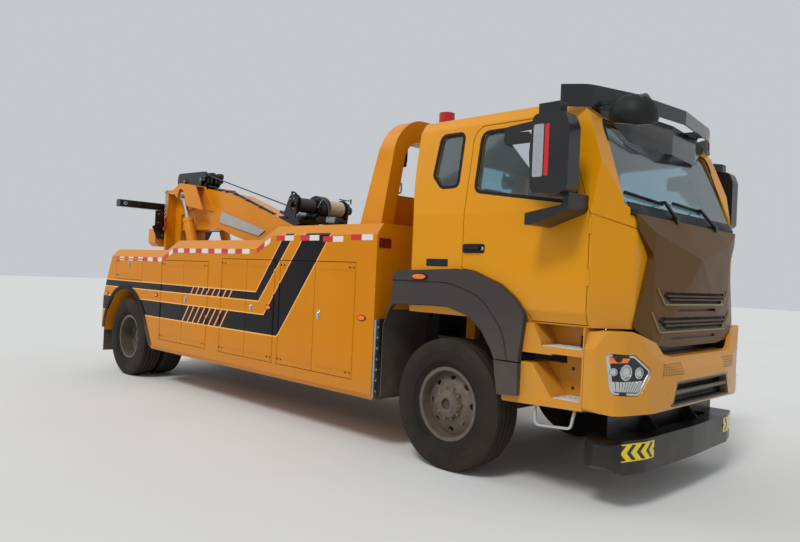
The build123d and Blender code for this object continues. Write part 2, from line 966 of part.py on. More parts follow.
# Fenders over the front wheels: a flared face with a pressed groove, a short lower
# piece that joins the step box, and a liner along the opening's edge
fender_face = [
    (-568, 1306),
    (-551, 1553, 20),
    (-490, 1590, 30),
    (153, 1620, 200),
    (300, 1602, 200),
    (562, 1510, 300),
    (707, 1409, 300),
    (796, 1298, 100),
    (784, 1240, 40),
    (760, 1040),
    (753, 966),
    (544, 966),
    (505, 1045, 200),
    (418, 1165, 200),
    (290, 1265, 200),
    (63, 1324, 200),
    (-100, 1324),
]
fender_lower = [(537, 956), (580, 710), (752, 722), (752, 956)]
fender_groove_outer = [
    (-548, 1500),
    (-548, 1512),
    (74, 1512, 400),
    (400, 1420, 400),
    (612, 1180, 300),
    (668, 960),
    (656, 960),
    (600, 1176, 300),
    (394, 1408, 400),
    (74, 1500, 400),
]
liner_lap = 5
fender_liner = [
    (-655, 500),
    (-655, 1120, 40),
    (-568, 1306 + liner_lap, 60),
    (-100, 1324 + liner_lap),
    (63, 1324 + liner_lap, 200),
    (290 + liner_lap, 1265 + liner_lap, 200),
    (418 + liner_lap, 1165 + liner_lap, 200),
    (505 + liner_lap, 1045, 200),
    (544 + liner_lap, 970),
    (586 + liner_lap, 710),
    (586 - liner_sheet, 710),
    (544 - liner_sheet, 962),
    (505 - liner_sheet, 1038, 200),
    (418 - liner_sheet, 1158, 200),
    (287, 1265 - liner_sheet, 200),
    (63, 1324 - liner_sheet, 200),
    (-100, 1324 - liner_sheet),
    (-562, 1306 - liner_sheet, 60),
    (-655 + liner_sheet, 1118, 40),
    (-655 + liner_sheet, 500),
]
liner_inner_y = 700
liner_front_inner_y = 930
with BuildPart() as fenders:
    for side in (-1, 1):
        across(fender_liner, *span(side, liner_inner_y, cab_half_width + fender_proud - 6))
        lower_front = span(side, liner_inner_y - 1, liner_front_inner_y)
        block(400, 600, *lower_front, 700, 966, Mode.SUBTRACT)
    cab_seat = cab_floor - running_gap
    cab_side = cab_half_width + running_gap
    block(cab_rear - 300, cab_front, -cab_side, cab_side, cab_seat, cab_seat + 200, Mode.SUBTRACT)
    for side in (-1, 1):
        face = span(side, cab_half_width + running_gap, cab_half_width + fender_proud)
        across(fender_face, *face)
        across(fender_lower, *face)
        groove = span(side, cab_half_width + fender_proud - 8, cab_half_width + fender_proud + 1)
        across(fender_groove_outer, *groove, Mode.SUBTRACT)
save(fenders, "fenders")

# Step boxes: the sides below the doors, each with two open wells, and a tread in each
step_box_side = [
    (step_box_rear, cab_floor - running_gap, 20),
    (step_box_rear, 1040),
    (1000, 1040),
    (1000, 970),
    (step_box_rear + 8, 970),
    (step_box_rear + 9, 850, 20),
    (592, 722, 10),
    (592, 664, 20),
    (1250, 689),
    (1250, cab_floor - running_gap),
]
upper_well = [(838, 1256), (909, 1130, 30), (915, upper_tread_z), (1241, upper_tread_z), (1241, 1256)]
lower_well = [
    (845, 970),
    (1014, lower_tread_z + 10),
    (1238, lower_tread_z + 10),
    (1238, 1050),
    (1000, 1050),
    (1000, 970),
]
step_holes = [(1051, 939), (1053, 800)]
step_hole_radius = 14
wire_step_top = 690
wire_step = [
    (847, wire_step_top),
    (853, 520, 40),
    (1150, 540, 40),
    (1184, wire_step_top),
    (1168, wire_step_top),
    (1138, 556, 30),
    (869, 536, 30),
    (863, wire_step_top),
]
wire_step_y = 1150
wire_radius = 8
with BuildPart() as step_boxes:
    for side in (-1, 1):
        box = span(side, cab_half_width - step_depth, cab_half_width)
        across(step_box_side, *box)
        well = span(side, cab_half_width - step_well_depth, cab_half_width + 1)
        across(upper_well, *well, Mode.SUBTRACT)
        across(lower_well, *well, Mode.SUBTRACT)
        for x, z in step_holes:
            disc_y(x, z, step_hole_radius, *span(side, 900, cab_half_width + 1), Mode.SUBTRACT)
        across(wire_step, *span(side, wire_step_y - wire_radius, wire_step_y + wire_radius))
save(step_boxes, "step_boxes")

# Sun visor: an opaque band with end caps, a smoked flap below it, and the round front
# mirror on its arm
visor_plan_half = [(1000, 1205), (1150, 1100, 160), (1285, 700, 300), (1372, 0)]
visor_flap_half = [(1120, 1000), (1215, 600, 400), (1272, 0)]
visor_cap_low = 2775
visor_cap_inner_y = 860
front_mirror = (-1000, 2735)
front_mirror_radius = 95
front_mirror_x = (1470, 1520)
front_mirror_arm = [
    (1180, 2800),
    (1180, 2825),
    (1470, 2812, 30),
    (1500, 2780, 20),
    (1500, 2700),
    (1475, 2700),
    (1465, 2775, 20),
]


def visor_sheet_plan(half, sheet):
    # The bowed sheet between a half plan and the same plan set back
    outer = half[:-1] + [(half[-1][0], 0)]
    inner = [(x - sheet, y, *rest) for x, y, *rest in reversed(outer)]
    left = outer + inner
    return left


with BuildPart() as visor:
    for half, sheet, z_low, z_high in (
        (visor_plan_half, visor_sheet, visor_band_bottom, visor_band_top),
        (visor_flap_half, visor_sheet / 2, 2600, visor_band_bottom + 1),
    ):
        for side in (-1, 1):
            upward([(x, side * y, *rest) for x, y, *rest in visor_sheet_plan(half, sheet)], z_low, z_high)
    with BuildPart(mode=Mode.PRIVATE) as caps:
        for side in (-1, 1):
            cap = [(x, side * y, *rest) for x, y, *rest in visor_sheet_plan(visor_plan_half, visor_sheet)]
            upward(cap, visor_cap_low, visor_band_top)
        block(
            900,
            1500,
            -visor_cap_inner_y,
            visor_cap_inner_y,
            visor_cap_low - 1,
            visor_band_top + 1,
            Mode.SUBTRACT,
        )
    add(caps.part)
    for side in (-1, 1):
        block(960, 1280, *span(side, 700, 724), visor_band_top - 70, visor_band_top - 10)
        block(1080, 1235, *span(side, 560, 584), visor_band_bottom - 10, visor_band_bottom + 30)
    disc_x(*front_mirror, front_mirror_radius, *front_mirror_x)
    across(front_mirror_arm, front_mirror[0] - 10, front_mirror[0] + 10)
    add(outer_form, mode=Mode.SUBTRACT)
save(visor, "visor")

# Dashboard with the steering column and wheel
wheel_y = 560
wheel_place = (930, wheel_y, 1930)
wheel_rim_radius = 215
dashboard_side = [
    (1180, 1420),
    (1180, 1760, 60),
    (1100, 1880, 60),
    (1120, 1990, 40),
    (1420, 1990),
    (1420, 1420),
]
column_length = 440
with BuildPart() as dashboard:
    add(inner_form)
    across(dashboard_side, -1000, 1000, Mode.INTERSECT)
    column_plane = Plane(origin=(at(wheel_place[0]), *wheel_place[1:]), z_dir=(0.62, 0, -0.78))
    with BuildSketch(column_plane) as column:
        Circle(30)
    extrude(amount=column_length)
    with Locations(column_plane):
        Torus(wheel_rim_radius, 14)
    with BuildSketch(column_plane) as spokes:
        Rectangle(40, wheel_rim_radius * 2 - 10)
        Circle(60)
    extrude(amount=16)
save(dashboard, "dashboard")

# Seats: cushion, back and pedestal
seat_y = 560
seat_half = 230
seat_base_z = 1640
seat_floor = cab_floor + cab_wall
seat_side = [
    (150, seat_base_z),
    (150, seat_base_z + 150),
    (560, seat_base_z + 160, 40),
    (600, seat_base_z + 120, 40),
    (600, seat_base_z + 20, 20),
    (500, seat_base_z),
    (500, seat_floor),
    (250, seat_floor),
    (250, seat_base_z),
]
seat_back = [(30, seat_base_z), (-60, 2350, 30), (20, 2360, 30), (180, 1790), (200, seat_base_z)]
with BuildPart() as seats:
    for side in (-1, 1):
        across(seat_side, side * seat_y - seat_half, side * seat_y + seat_half)
        across(seat_back, side * seat_y - seat_half, side * seat_y + seat_half)
save(seats, "seats")

# Deck: the floor plate between the lockers, its sills on the rails, a rear bearer, and
# the brackets that carry the lift cylinders
sill_height = 120
bearer_length = 90
bracket_plate = 15
bracket_inner_y = cylinder_y - 55
bracket_outer_y = cylinder_y + 40
bracket_half_foot = 205
bracket_seat_z = rail_top + 100
bracket_side = [
    (cylinder_base_x - bracket_half_foot, bracket_seat_z),
    (cylinder_base_x + bracket_half_foot, bracket_seat_z),
    (cylinder_base_x + 65, cylinder_base_z + 55, 40),
    (cylinder_base_x - 65, cylinder_base_z + 55, 40),
]
with BuildPart() as deck:
    block(deck_rear, deck_front, -body_inner_y, body_inner_y, deck_height - deck_plate, deck_height)
    block(
        frame_rear_x,
        frame_rear_x + bearer_length,
        -body_inner_y,
        body_inner_y,
        rail_top,
        rail_top + sill_height,
    )
    for side in (-1, 1):
        sill = span(side, rail_outer_y - rail_flange, rail_outer_y)
        block(frame_rear_x, deck_front, *sill, rail_top, rail_top + sill_height)
        block(deck_rear, deck_front, *sill, rail_top, deck_height)
        for plate_y in (bracket_inner_y, bracket_outer_y):
            across(bracket_side, *span(side, plate_y, plate_y + bracket_plate))
        pin = span(side, bracket_inner_y, bracket_outer_y + bracket_plate)
        disc_y(cylinder_base_x, cylinder_base_z, pin_radius, *pin)
        block(
            cylinder_base_x - bracket_half_foot,
            cylinder_base_x + bracket_half_foot,
            *span(side, bracket_inner_y, rail_outer_y),
            rail_top + sill_height - 30,
            rail_top + sill_height,
        )
save(deck, "deck")


# Locker bodies: one box along each side with a stepped, inward-leaning rim, the wheel
# opening, and a cavity behind each door
def wheel_opening(radius, foot_z, y_low, y_high, mode=Mode.ADD):
    # Round above, upright behind, and leaning forward along a tangent in front
    touch_x = rear_axle_x + radius * 0.855
    touch_z = axle_height + radius * 0.519
    foot_x = touch_x + (touch_z - foot_z) * 0.519 / 0.855
    lower = [
        (rear_axle_x, axle_height),
        (touch_x, touch_z),
        (foot_x, foot_z),
        (rear_axle_x - radius, foot_z),
        (rear_axle_x - radius, axle_height),
    ]
    disc_y(rear_axle_x, axle_height, radius, y_low, y_high, mode)
    across(lower, y_low, y_high, mode)


rim_stations = [
    (body_rear, rim_low),
    (rear_axle_x + 1049, rim_low),
    (rear_axle_x + 1343, rim_mid),
    (rear_axle_x + 3167, rim_mid),
    (rear_axle_x + 3465, rim_high),
    (body_front, rim_high),
]
body_tuck = 22
body_tuck_height = 45
rim_shoulder = 100
rear_floor_z = 608
rear_slant = [
    (body_rear + 460, rim_low),
    (body_rear + 313, rim_low, 60),
    (body_rear + 110, 1305, 150),
    (body_rear + 20, 1070, 150),
    (body_rear, rear_floor_z),
    (body_rear - 10, rear_floor_z),
    (body_rear - 10, rim_low + 50),
    (body_rear + 460, rim_low + 50),
]
rear_locker_rear = rear_axle_x + 1050
rear_locker_front = rear_axle_x + 2200
front_locker_rear = body_front - 1420
front_locker_front = body_front - 270
upper_locker_sill = 1330
low_locker_head = 1610
locker_head = 1650
lockers = [
    # name, rear end, front end, sill, head, leaves
    ("front", front_locker_rear, front_locker_front, locker_sill, locker_head, 2),
    ("middle", rear_locker_front + 300, front_locker_rear - 90, locker_sill, locker_head, 2),
    ("rear", rear_locker_rear, rear_locker_front, locker_sill, low_locker_head, 2),
    ("upper", rear_axle_x - 330, rear_axle_x + 500, upper_locker_sill, low_locker_head, 1),
]
locker_lip = 12
door_leaf = 26
rib_relief = 3
rib_height = 14
rib_inset = 45
rib_from_edge = 62


def body_box(side):
    cut = span(side, body_inner_y - 10, half_width + 10)
    with BuildPart() as box:
        for station, rim in rim_stations:
            section = [
                (side * body_inner_y, body_bottom),
                (side * (half_width - body_tuck), body_bottom),
                (side * half_width, body_bottom + body_tuck_height),
                (side * half_width, rim - rim_shoulder),
                (side * (half_width - rim_lean), rim),
                (side * body_inner_y, rim),
            ]
            with BuildSketch(Plane.YZ.offset(at(station))):
                with BuildLine():
                    Polyline(*section, close=True)
                make_face()
        loft(ruled=True)
        across(rear_slant, *cut, Mode.SUBTRACT)
        wheel_opening(arch_radius, body_bottom - 1, *cut, Mode.SUBTRACT)
        block(
            body_rear - 10,
            rear_axle_x - arch_radius + 1,
            *cut,
            body_bottom - 1,
            rear_floor_z,
            Mode.SUBTRACT,
        )
        for name, rear, front, sill, head, leaves in lockers:
            inside = span(side, body_inner_y + body_wall, half_width - body_wall)
            opening = span(side, half_width - body_wall - 1, half_width + 10)
            block(
                rear - locker_lip,
                front + locker_lip,
                *inside,
                sill - locker_lip,
                head + locker_lip,
                Mode.SUBTRACT,
            )
            block(
                rear - running_gap,
                front + running_gap,
                *opening,
                sill - door_gap,
                head + running_gap,
                Mode.SUBTRACT,
            )
            groove = locker_hinge_radius + running_gap
            if leaves == 1:
                disc_x(side * half_width, head, groove, rear - door_gap, front + door_gap, Mode.SUBTRACT)
            else:
                for station in (rear, front):
                    disc_z(
                        station,
                        side * half_width,
                        groove,
                        sill - door_gap,
                        head + running_gap,
                        Mode.SUBTRACT,
                    )
    return box


def pressed_rib(side, rear, front, z_middle):
    # A long rib that stands a little proud of a leaf
    block(
        rear + rib_inset,
        front - rib_inset,
        *span(side, half_width - 1, half_width + rib_relief),
        z_middle - rib_height / 2,
        z_middle + rib_height / 2,
    )


def flap_door(side, rear, front, sill, head):
    # A leaf hinged along its top edge
    with BuildPart() as door:
        block(
            rear + door_gap,
            front - door_gap,
            *span(side, half_width - door_leaf, half_width),
            sill,
            head,
        )
        disc_x(side * half_width, head, locker_hinge_radius, rear, front)
        pressed_rib(side, rear, front, sill + rib_from_edge)
    return door


def upright_door(side, hinge, edge, sill, head):
    # A leaf hinged along its upright edge at hinge, whose free edge is at edge
    rear, front = sorted((hinge, edge))
    with BuildPart() as door:
        block(rear, front, *span(side, half_width - door_leaf, half_width), sill, head - door_gap)
        disc_z(hinge, side * half_width, locker_hinge_radius, sill, head - door_gap)
        pressed_rib(side, rear, front, sill + rib_from_edge)
        pressed_rib(side, rear, front, head - door_gap - rib_from_edge)
    return door


for side, word in ((-1, "right"), (1, "left")):
    save(body_box(side), "body_" + word)
    for name, rear, front, sill, head, leaves in lockers:
        if leaves == 1:
            save(flap_door(side, rear, front, sill, head), "locker_" + name + "_" + word)
        else:
            meeting = (rear + front) / 2
            save(
                upright_door(side, rear, meeting - door_gap / 2, sill, head),
                "locker_" + name + "_a_" + word,
            )
            save(
                upright_door(side, front, meeting + door_gap / 2, sill, head),
                "locker_" + name + "_b_" + word,
            )

# Headboard: a hoop leaning forward on the front of the lockers, with a bulkhead panel
hoop_foot_z = rim_high
hoop_bend_z = hoop_top - 200
hoop_lower_bar_z = hoop_top - hoop_bar - 40
hoop_foot_x = body_front - 100
hoop_head_x = body_front + 85
hoop_foot_depth = 280
bulkhead_plate = 25
bulkhead_x = body_front - 250
panel_lean = 60
panel_top_z = 2290
with BuildPart() as headboard:
    with BuildSketch(Plane.YZ.offset(at(hoop_foot_x - hoop_foot_depth))):
        with BuildLine():
            FilletPolyline(
                (-hoop_half_width, hoop_foot_z),
                (-hoop_half_width, hoop_top),
                (hoop_half_width, hoop_top),
                (hoop_half_width, hoop_foot_z),
                radius=hoop_corner,
            )
            Line((hoop_half_width, hoop_foot_z), (hoop_half_width - hoop_bar, hoop_foot_z))
            FilletPolyline(
                (hoop_half_width - hoop_bar, hoop_foot_z),
                (hoop_half_width - hoop_bar, hoop_lower_bar_z),
                (-hoop_half_width + hoop_bar, hoop_lower_bar_z),
                (-hoop_half_width + hoop_bar, hoop_foot_z),
                radius=hoop_corner - hoop_bar,
            )
            Line((-hoop_half_width + hoop_bar, hoop_foot_z), (-hoop_half_width, hoop_foot_z))
        make_face()
    extrude(amount=700)
    lean = [
        (hoop_foot_x - hoop_foot_depth, hoop_foot_z),
        (hoop_foot_x, hoop_foot_z),
        (hoop_head_x - 39, hoop_bend_z),
        (hoop_head_x, hoop_top),
        (hoop_head_x - 175, hoop_top, 60),
        (hoop_head_x - 225, hoop_bend_z, 200),
    ]
    across(lean, -hoop_half_width - 1, hoop_half_width + 1, Mode.INTERSECT)
    panel = [
        (bulkhead_x, hoop_foot_z),
        (bulkhead_x + bulkhead_plate, hoop_foot_z),
        (bulkhead_x + bulkhead_plate + panel_lean, panel_top_z),
        (bulkhead_x + panel_lean, panel_top_z),
    ]
    panel_y = hoop_half_width - hoop_bar + 5
    across(panel, -panel_y, panel_y)
    block(
        bulkhead_x,
        bulkhead_x + bulkhead_plate,
        -body_inner_y + 1,
        body_inner_y - 1,
        deck_height,
        hoop_foot_z + 1,
    )
save(headboard, "headboard")

# Lamps: the headlamps in their pockets, two work lamps hung in the hoop, two beacons
beacon_y = 400
beacon_x = body_front - 5
beacon_radius = 75
beacon_base = 40
beacon_height = 170
work_lamp_y = 855
work_lamp_half = 75
work_lamp_z = hoop_top - 325
lamp_bracket_half = 12
with BuildPart() as headlamps:
    for side in (-1, 1):
        shape = [(side * y, *rest) for y, *rest in lamp_outline]
        along(shape, lamp_pocket_x, front_overhang)
    lamp_face = [(x - lamp_recess, *rest) for x, *rest in bumper_half_plan]
    upward(closed_half(lamp_face), bumper_bottom, bumper_top, Mode.INTERSECT)

with BuildPart() as lamps:
    for side in (-1, 1):
        lamp_side = [
            (hoop_foot_x - 100, work_lamp_z - 65, 15),
            (hoop_foot_x - 45, work_lamp_z - 60, 10),
            (hoop_foot_x - 45, work_lamp_z + 60, 10),
            (hoop_foot_x - 100, work_lamp_z + 65, 15),
        ]
        across(lamp_side, side * work_lamp_y - work_lamp_half, side * work_lamp_y + work_lamp_half)
        block(
            hoop_foot_x - 46,
            hoop_foot_x,
            side * work_lamp_y - lamp_bracket_half,
            side * work_lamp_y + lamp_bracket_half,
            work_lamp_z - 20,
            hoop_lower_bar_z + 20,
        )
    add(headboard.part, mode=Mode.SUBTRACT)
    for side in (-1, 1):
        disc_z(beacon_x, side * beacon_y, beacon_radius - 15, hoop_top, hoop_top + beacon_base)
        disc_z(beacon_x, side * beacon_y, beacon_radius, hoop_top + beacon_base, hoop_top + beacon_height)
    add(headlamps.part)
save(lamps, "lamps")

# Boom pedestal: two cheek plates on the deck with the foot pin between them
pedestal_y = 226
pedestal_plate = 40
pedestal_side = [
    (boom_foot_x - 550, deck_height),
    (boom_foot_x + 550, deck_height),
    (boom_foot_x + 450, deck_height + 150, 60),
    (boom_foot_x + 150, boom_foot_z + 140, 60),
    (boom_foot_x, boom_foot_z + 180, 60),
    (boom_foot_x - 150, boom_foot_z + 140, 60),
    (boom_foot_x - 400, deck_height + 150, 60),
]
with BuildPart() as boom_pedestal:
    for side in (-1, 1):
        across(pedestal_side, *span(side, pedestal_y, pedestal_y + pedestal_plate))
    pin_half = pedestal_y + 30
    disc_y(boom_foot_x, boom_foot_z, boom_pin_radius, -pin_half, pin_half)
    block(boom_foot_x - 550, boom_foot_x + 550, -pedestal_y, pedestal_y, deck_height, deck_height + 30)
save(boom_pedestal, "boom_pedestal")


def on_boom(distance, height, *radius):
    # A point at a distance rearwards along the boom from its foot pin, and a height off it
    slope = math.radians(boom_pitch)
    x = boom_foot_x - distance * math.cos(slope) + height * math.sin(slope)
    z = boom_foot_z + distance * math.sin(slope) + height * math.cos(slope)
    return (x, z, *radius)


def by_eye(back, up, *radius):
    # A point measured rearwards and upwards from the lift rods' eye
    return (rod_eye_x - back, rod_eye_z + up, *radius)


# Main boom: a tapered box open at its rear mouth, a yoke beside it that hangs on the lift
# rods, and the broad leg that carries the underlift's fork
inner_middle = 20
inner_low = inner_middle - inner_height / 2
inner_high = inner_middle + inner_height / 2
boom_half = inner_width / 2 + slide_pad_gap + boom_plate
cavity_half = inner_width / 2 + slide_pad_gap
cavity_start = 400
yoke_outer_y = boom_half + cheek_thickness
hood_inner_y = cylinder_y + 38
hood_plate = 16
leg_half = 330
leg_plate = 60
fork_top = 1050
box_side = [
    (-120, -110, 40),
    (1270, -168, 300),
    (1772, -236, 200),
    (2300, -180),
    (mouth, -150),
    (mouth, 178),
    (2100, 236),
    (1775, boom_top),
    (250, boom_top, 200),
    (-100, 180, 60),
    (-160, 60, 60),
    (-160, -40, 40),
]
yoke = [
    by_eye(-667, -237),
    by_eye(-422, 133),
    by_eye(39, 194, 40),
    by_eye(235, 105, 30),
    by_eye(514, 95),
    by_eye(505, -100),
    by_eye(245, -270),
    by_eye(-195, -160),
]
hood = [
    by_eye(-667, -237),
    by_eye(-422, 133),
    by_eye(39, 194, 40),
    by_eye(235, 105, 30),
    by_eye(514, 95),
    by_eye(514, 60),
    by_eye(215, 55, 30),
    by_eye(120, -30),
    by_eye(45, 110, 30),
    by_eye(-60, 90, 30),
    by_eye(-195, -160, 60),
]
hood_roof = [
    by_eye(-422, 133),
    by_eye(39, 194, 40),
    by_eye(235, 105, 30),
    by_eye(514, 95),
    by_eye(514, 83),
    by_eye(232, 92, 30),
    by_eye(38, 180, 40),
    by_eye(-422, 119),
]
fork_side = [
    (leg_front, 850),
    (leg_rear, fork_top),
    (underlift_x - 60, 820, 40),
    (underlift_x - 80, 700, 40),
    (underlift_x - 20, 630, 40),
    (leg_front, 600),
]
leg_top_front = on_boom(3130, inner_low - 12)[1]
leg_top_rear = on_boom(3420, inner_low - 12)[1]
leg_box = [
    (leg_rear, 700),
    (leg_rear, leg_top_rear),
    (leg_front, leg_top_front),
    (leg_front, leg_bottom),
    (leg_rear + 30, leg_bottom),
]
leg_apron_half = [
    (leg_half - 15, rod_eye_z + 60),
    (leg_half - 5, 2330),
    (leg_half + 12, 2290),
    (leg_half, 1400, 100),
    (yoke_outer_y, fork_top - 50),
]
with BuildPart() as boom_outer:
    across([on_boom(*corner) for corner in box_side], -boom_half, boom_half)
    cavity = [
        on_boom(cavity_start, inner_low - slide_pad_gap),
        on_boom(mouth + 50, inner_low - slide_pad_gap),
        on_boom(mouth + 50, inner_high + slide_pad_gap),
        on_boom(cavity_start, inner_high + slide_pad_gap),
    ]
    across(cavity, -cavity_half, cavity_half, Mode.SUBTRACT)
    disc_y(boom_foot_x, boom_foot_z, boom_pin_radius + running_gap, -boom_half, boom_half, Mode.SUBTRACT)
    for side in (-1, 1):
        across(yoke, *span(side, boom_half, yoke_outer_y))
        across(hood, *span(side, hood_inner_y, hood_inner_y + hood_plate))
        across(hood_roof, *span(side, boom_half, hood_inner_y + hood_plate))
        disc_y(rod_eye_x, rod_eye_z, pin_radius, *span(side, boom_half, cylinder_y - 40))
        leg_side = [(leg_rear, leg_bottom), (leg_rear, 2660), (leg_front, 2600), (leg_front, leg_bottom)]
        across(leg_side, *span(side, boom_half - boom_plate, yoke_outer_y))
        across(fork_side, *span(side, arm_outer_width / 2 + 5, yoke_outer_y))
    along(mirrored_front(leg_apron_half), leg_rear, leg_rear + leg_plate)
    across(leg_box, -boom_half, boom_half)
    disc_y(underlift_x, fold_pin_z, fold_pin_radius, -boom_half, boom_half)
save(boom_outer, "boom_outer")

# Inner boom with its head: two sheaves under rounded covers, on cross pins
head_plate = 30
head_rear_z = rod_eye_z + 390
head_cover = [
    on_boom(2760, inner_high - 1),
    by_eye(-450, 350, 110),
    by_eye(-330, 372, 60),
    by_eye(470, head_rear_z - rod_eye_z, 60),
    by_eye(495, 260, 60),
    on_boom(3330, inner_low + 30, 40),
    on_boom(3060, inner_low),
]
sheaves = [
    # back from the rod's eye, up from it, radius
    (235, 250, 120),
    (-260, 245, 100),
]
sheave_groove = 14
inner_wall = 14
with BuildPart() as boom_inner:
    half = inner_width / 2
    beam = [
        on_boom(600, inner_low),
        on_boom(3060, inner_low),
        on_boom(3060, inner_high),
        on_boom(600, inner_high),
    ]
    across(beam, -half, half)
    bore = [
        on_boom(680, inner_low + inner_wall),
        on_boom(2900, inner_low + inner_wall),
        on_boom(2900, inner_high - inner_wall),
        on_boom(680, inner_high - inner_wall),
    ]
    across(bore, -half + inner_wall, half - inner_wall, Mode.SUBTRACT)
    for y_low in (-half, -head_plate / 2, half - head_plate):
        across(head_cover, y_low, y_low + head_plate)
    for back, up, radius in sheaves:
        x, z = by_eye(back, up)
        disc_y(x, z, radius * 0.35, -half - 20, half + 20)
        for side in (-1, 1):
            near = head_plate / 2
            far = half - head_plate
            middle = (near + far) / 2
            disc_y(x, z, radius, *span(side, near + 4, middle - sheave_groove))
            disc_y(x, z, radius, *span(side, middle + sheave_groove, far - 4))
            disc_y(x, z, radius - 22, *span(side, near, far))
save(boom_inner, "boom_inner")

# Winches: two drums on a leaning stand at the foot of the boom, driven from a round
# gear housing between them, with a motor at one end
winch_along = 60
winch_up = 600
drum_radius = 70
flange_radius = 125
flange_half = 8
winch_half = 415
gear_radius = 138
bearing_plate = 20
winch_stand = [
    (250, boom_top + running_gap),
    (620, boom_top + running_gap),
    (560, 330),
    (300, 455),
    (-120, 455),
    (-120, 435),
    (60, 435),
]
winch_saddle = [(-140, 430), (-140, 460), (270, 460), (270, 430)]
bearing = [(-60, 450), (180, 450), (140, 700, 40), (-20, 700, 40)]
with BuildPart() as winches:
    across([on_boom(*corner) for corner in winch_stand], -150, 150)
    across([on_boom(*corner) for corner in winch_saddle], -winch_half, winch_half)
    drum_x, drum_z = on_boom(winch_along, winch_up)
    disc_y(drum_x, drum_z, drum_radius, -winch_half + 10, winch_half - 10)
    for y_middle in (-370, -80, 80, 370):
        disc_y(drum_x, drum_z, flange_radius, y_middle - flange_half, y_middle + flange_half)
    disc_y(drum_x, drum_z, gear_radius, -62, 62)
    disc_y(*on_boom(winch_along + 150, winch_up - 60), 62, -150, 40)
    for y_low in (-winch_half, winch_half - bearing_plate):
        across([on_boom(*corner) for corner in bearing], y_low, y_low + bearing_plate)
    across([on_boom(s, n) for s, n in [(-60, 450), (210, 450), (190, 560), (-40, 560)]], -60, 60)
    disc_y(drum_x, drum_z, 55, winch_half - 1, winch_half + 85)
    disc_y(drum_x, drum_z, 40, -winch_half - 45, -winch_half + 1)
save(winches, "winches")

# Lift cylinders: barrels hinged on the frame, rods that reach the eyes beside the boom
cylinder_run = Vector(rod_eye_x - cylinder_base_x, 0, rod_eye_z - cylinder_base_z)
cylinder_tilt = cylinder_run.normalized()
barrel_base = 125
barrel_floor = 15
barrel_eye_radius = 70
barrel_eye_half = 35
gland_length = 60
gland_radius = 82
piston_low = 260
piston_high = 340
rod_eye_radius = 60
rod_eye_half = 32


def on_cylinder(distance, side):
    base = Vector(at(cylinder_base_x), side * cylinder_y, cylinder_base_z)
    return base + cylinder_tilt * distance


def rod_shape(side, radius, start, end, mode=Mode.ADD):
    with BuildSketch(Plane(origin=on_cylinder(start, side), z_dir=cylinder_tilt)) as circle:
        Circle(radius)
    return extrude(circle.sketch, amount=end - start, mode=mode)


with BuildPart() as lift_barrels:
    for side in (-1, 1):
        rod_shape(side, 33, 0, barrel_base + 5)
        rod_shape(side, barrel_radius, barrel_base, barrel_length)
        rod_shape(side, gland_radius, barrel_length - gland_length, barrel_length)
        rod_shape(side, barrel_bore, barrel_base + barrel_floor, barrel_length + 1, Mode.SUBTRACT)
        eye = span(side, cylinder_y - barrel_eye_half, cylinder_y + barrel_eye_half)
        disc_y(cylinder_base_x, cylinder_base_z, barrel_eye_radius, *eye)
        disc_y(cylinder_base_x, cylinder_base_z, pin_radius + running_gap, *eye, Mode.SUBTRACT)
save(lift_barrels, "lift_barrels")

with BuildPart() as lift_rods:
    for side in (-1, 1):
        rod_shape(side, rod_radius, piston_low, cylinder_run.length - 30)
        rod_shape(side, barrel_bore - running_gap, piston_low, piston_high)
        disc_y(
            rod_eye_x,
            rod_eye_z,
            rod_eye_radius,
            *span(side, cylinder_y - rod_eye_half, cylinder_y + rod_eye_half),
        )
save(lift_rods, "lift_rods")

# Underlift: outer arm hinged in the leg's fork with a broad head, a sliding inner arm
# with the plate that backs the crossbar, and the crossbar on its swivel
arm_depth = arm_outer_height / 2
arm_head_half = 460
arm_head_low = 1830
arm_head_wall = 12
arm_stop = 120
inner_arm_low = 980
back_plate_half = 350
back_plate_low = arm_outer_top + 30
back_plate_high = crossbar_z - 35
back_plate_wall = 10
arm_rear = underlift_x - arm_depth
arm_front = underlift_x + arm_depth
with BuildPart() as underlift_outer:
    arm_half = arm_outer_width / 2
    block(arm_rear, arm_front, -arm_half, arm_half, fold_pin_z, arm_outer_top)
    disc_y(underlift_x, fold_pin_z, arm_depth, -arm_half, arm_half)
    for side in (-1, 1):
        head_front = [
            (side * (arm_half - 5), arm_head_low),
            (side * (arm_head_half - 60), arm_head_low),
            (side * arm_head_half, arm_head_low + 60),
            (side * arm_head_half, arm_outer_top),
            (side * (arm_head_half - 40), arm_outer_top - 20),
            (side * (arm_head_half - 130), arm_outer_top - 150, 20),
            (side * (arm_half - 5), arm_outer_top - 160),
        ]
        along(head_front, arm_rear, arm_front)
        hollow = span(side, arm_half + 1, arm_head_half - 160)
        block(arm_rear + arm_head_wall, arm_front - arm_head_wall, *hollow, arm_head_low + arm_head_wall,
              arm_outer_top - 180, Mode.SUBTRACT)
    slot_depth_half = arm_inner_height / 2 + slide_pad_gap
    slot_half = arm_inner_width / 2 + slide_pad_gap
    block(
        underlift_x - slot_depth_half,
        underlift_x + slot_depth_half,
        -slot_half,
        slot_half,
        fold_pin_z + arm_stop,
        arm_outer_top + 1,
        Mode.SUBTRACT,
    )
    disc_y(
        underlift_x,
        fold_pin_z,
        fold_pin_radius + running_gap,
        -arm_outer_width,
        arm_outer_width,
        Mode.SUBTRACT,
    )
save(underlift_outer, "underlift_outer")

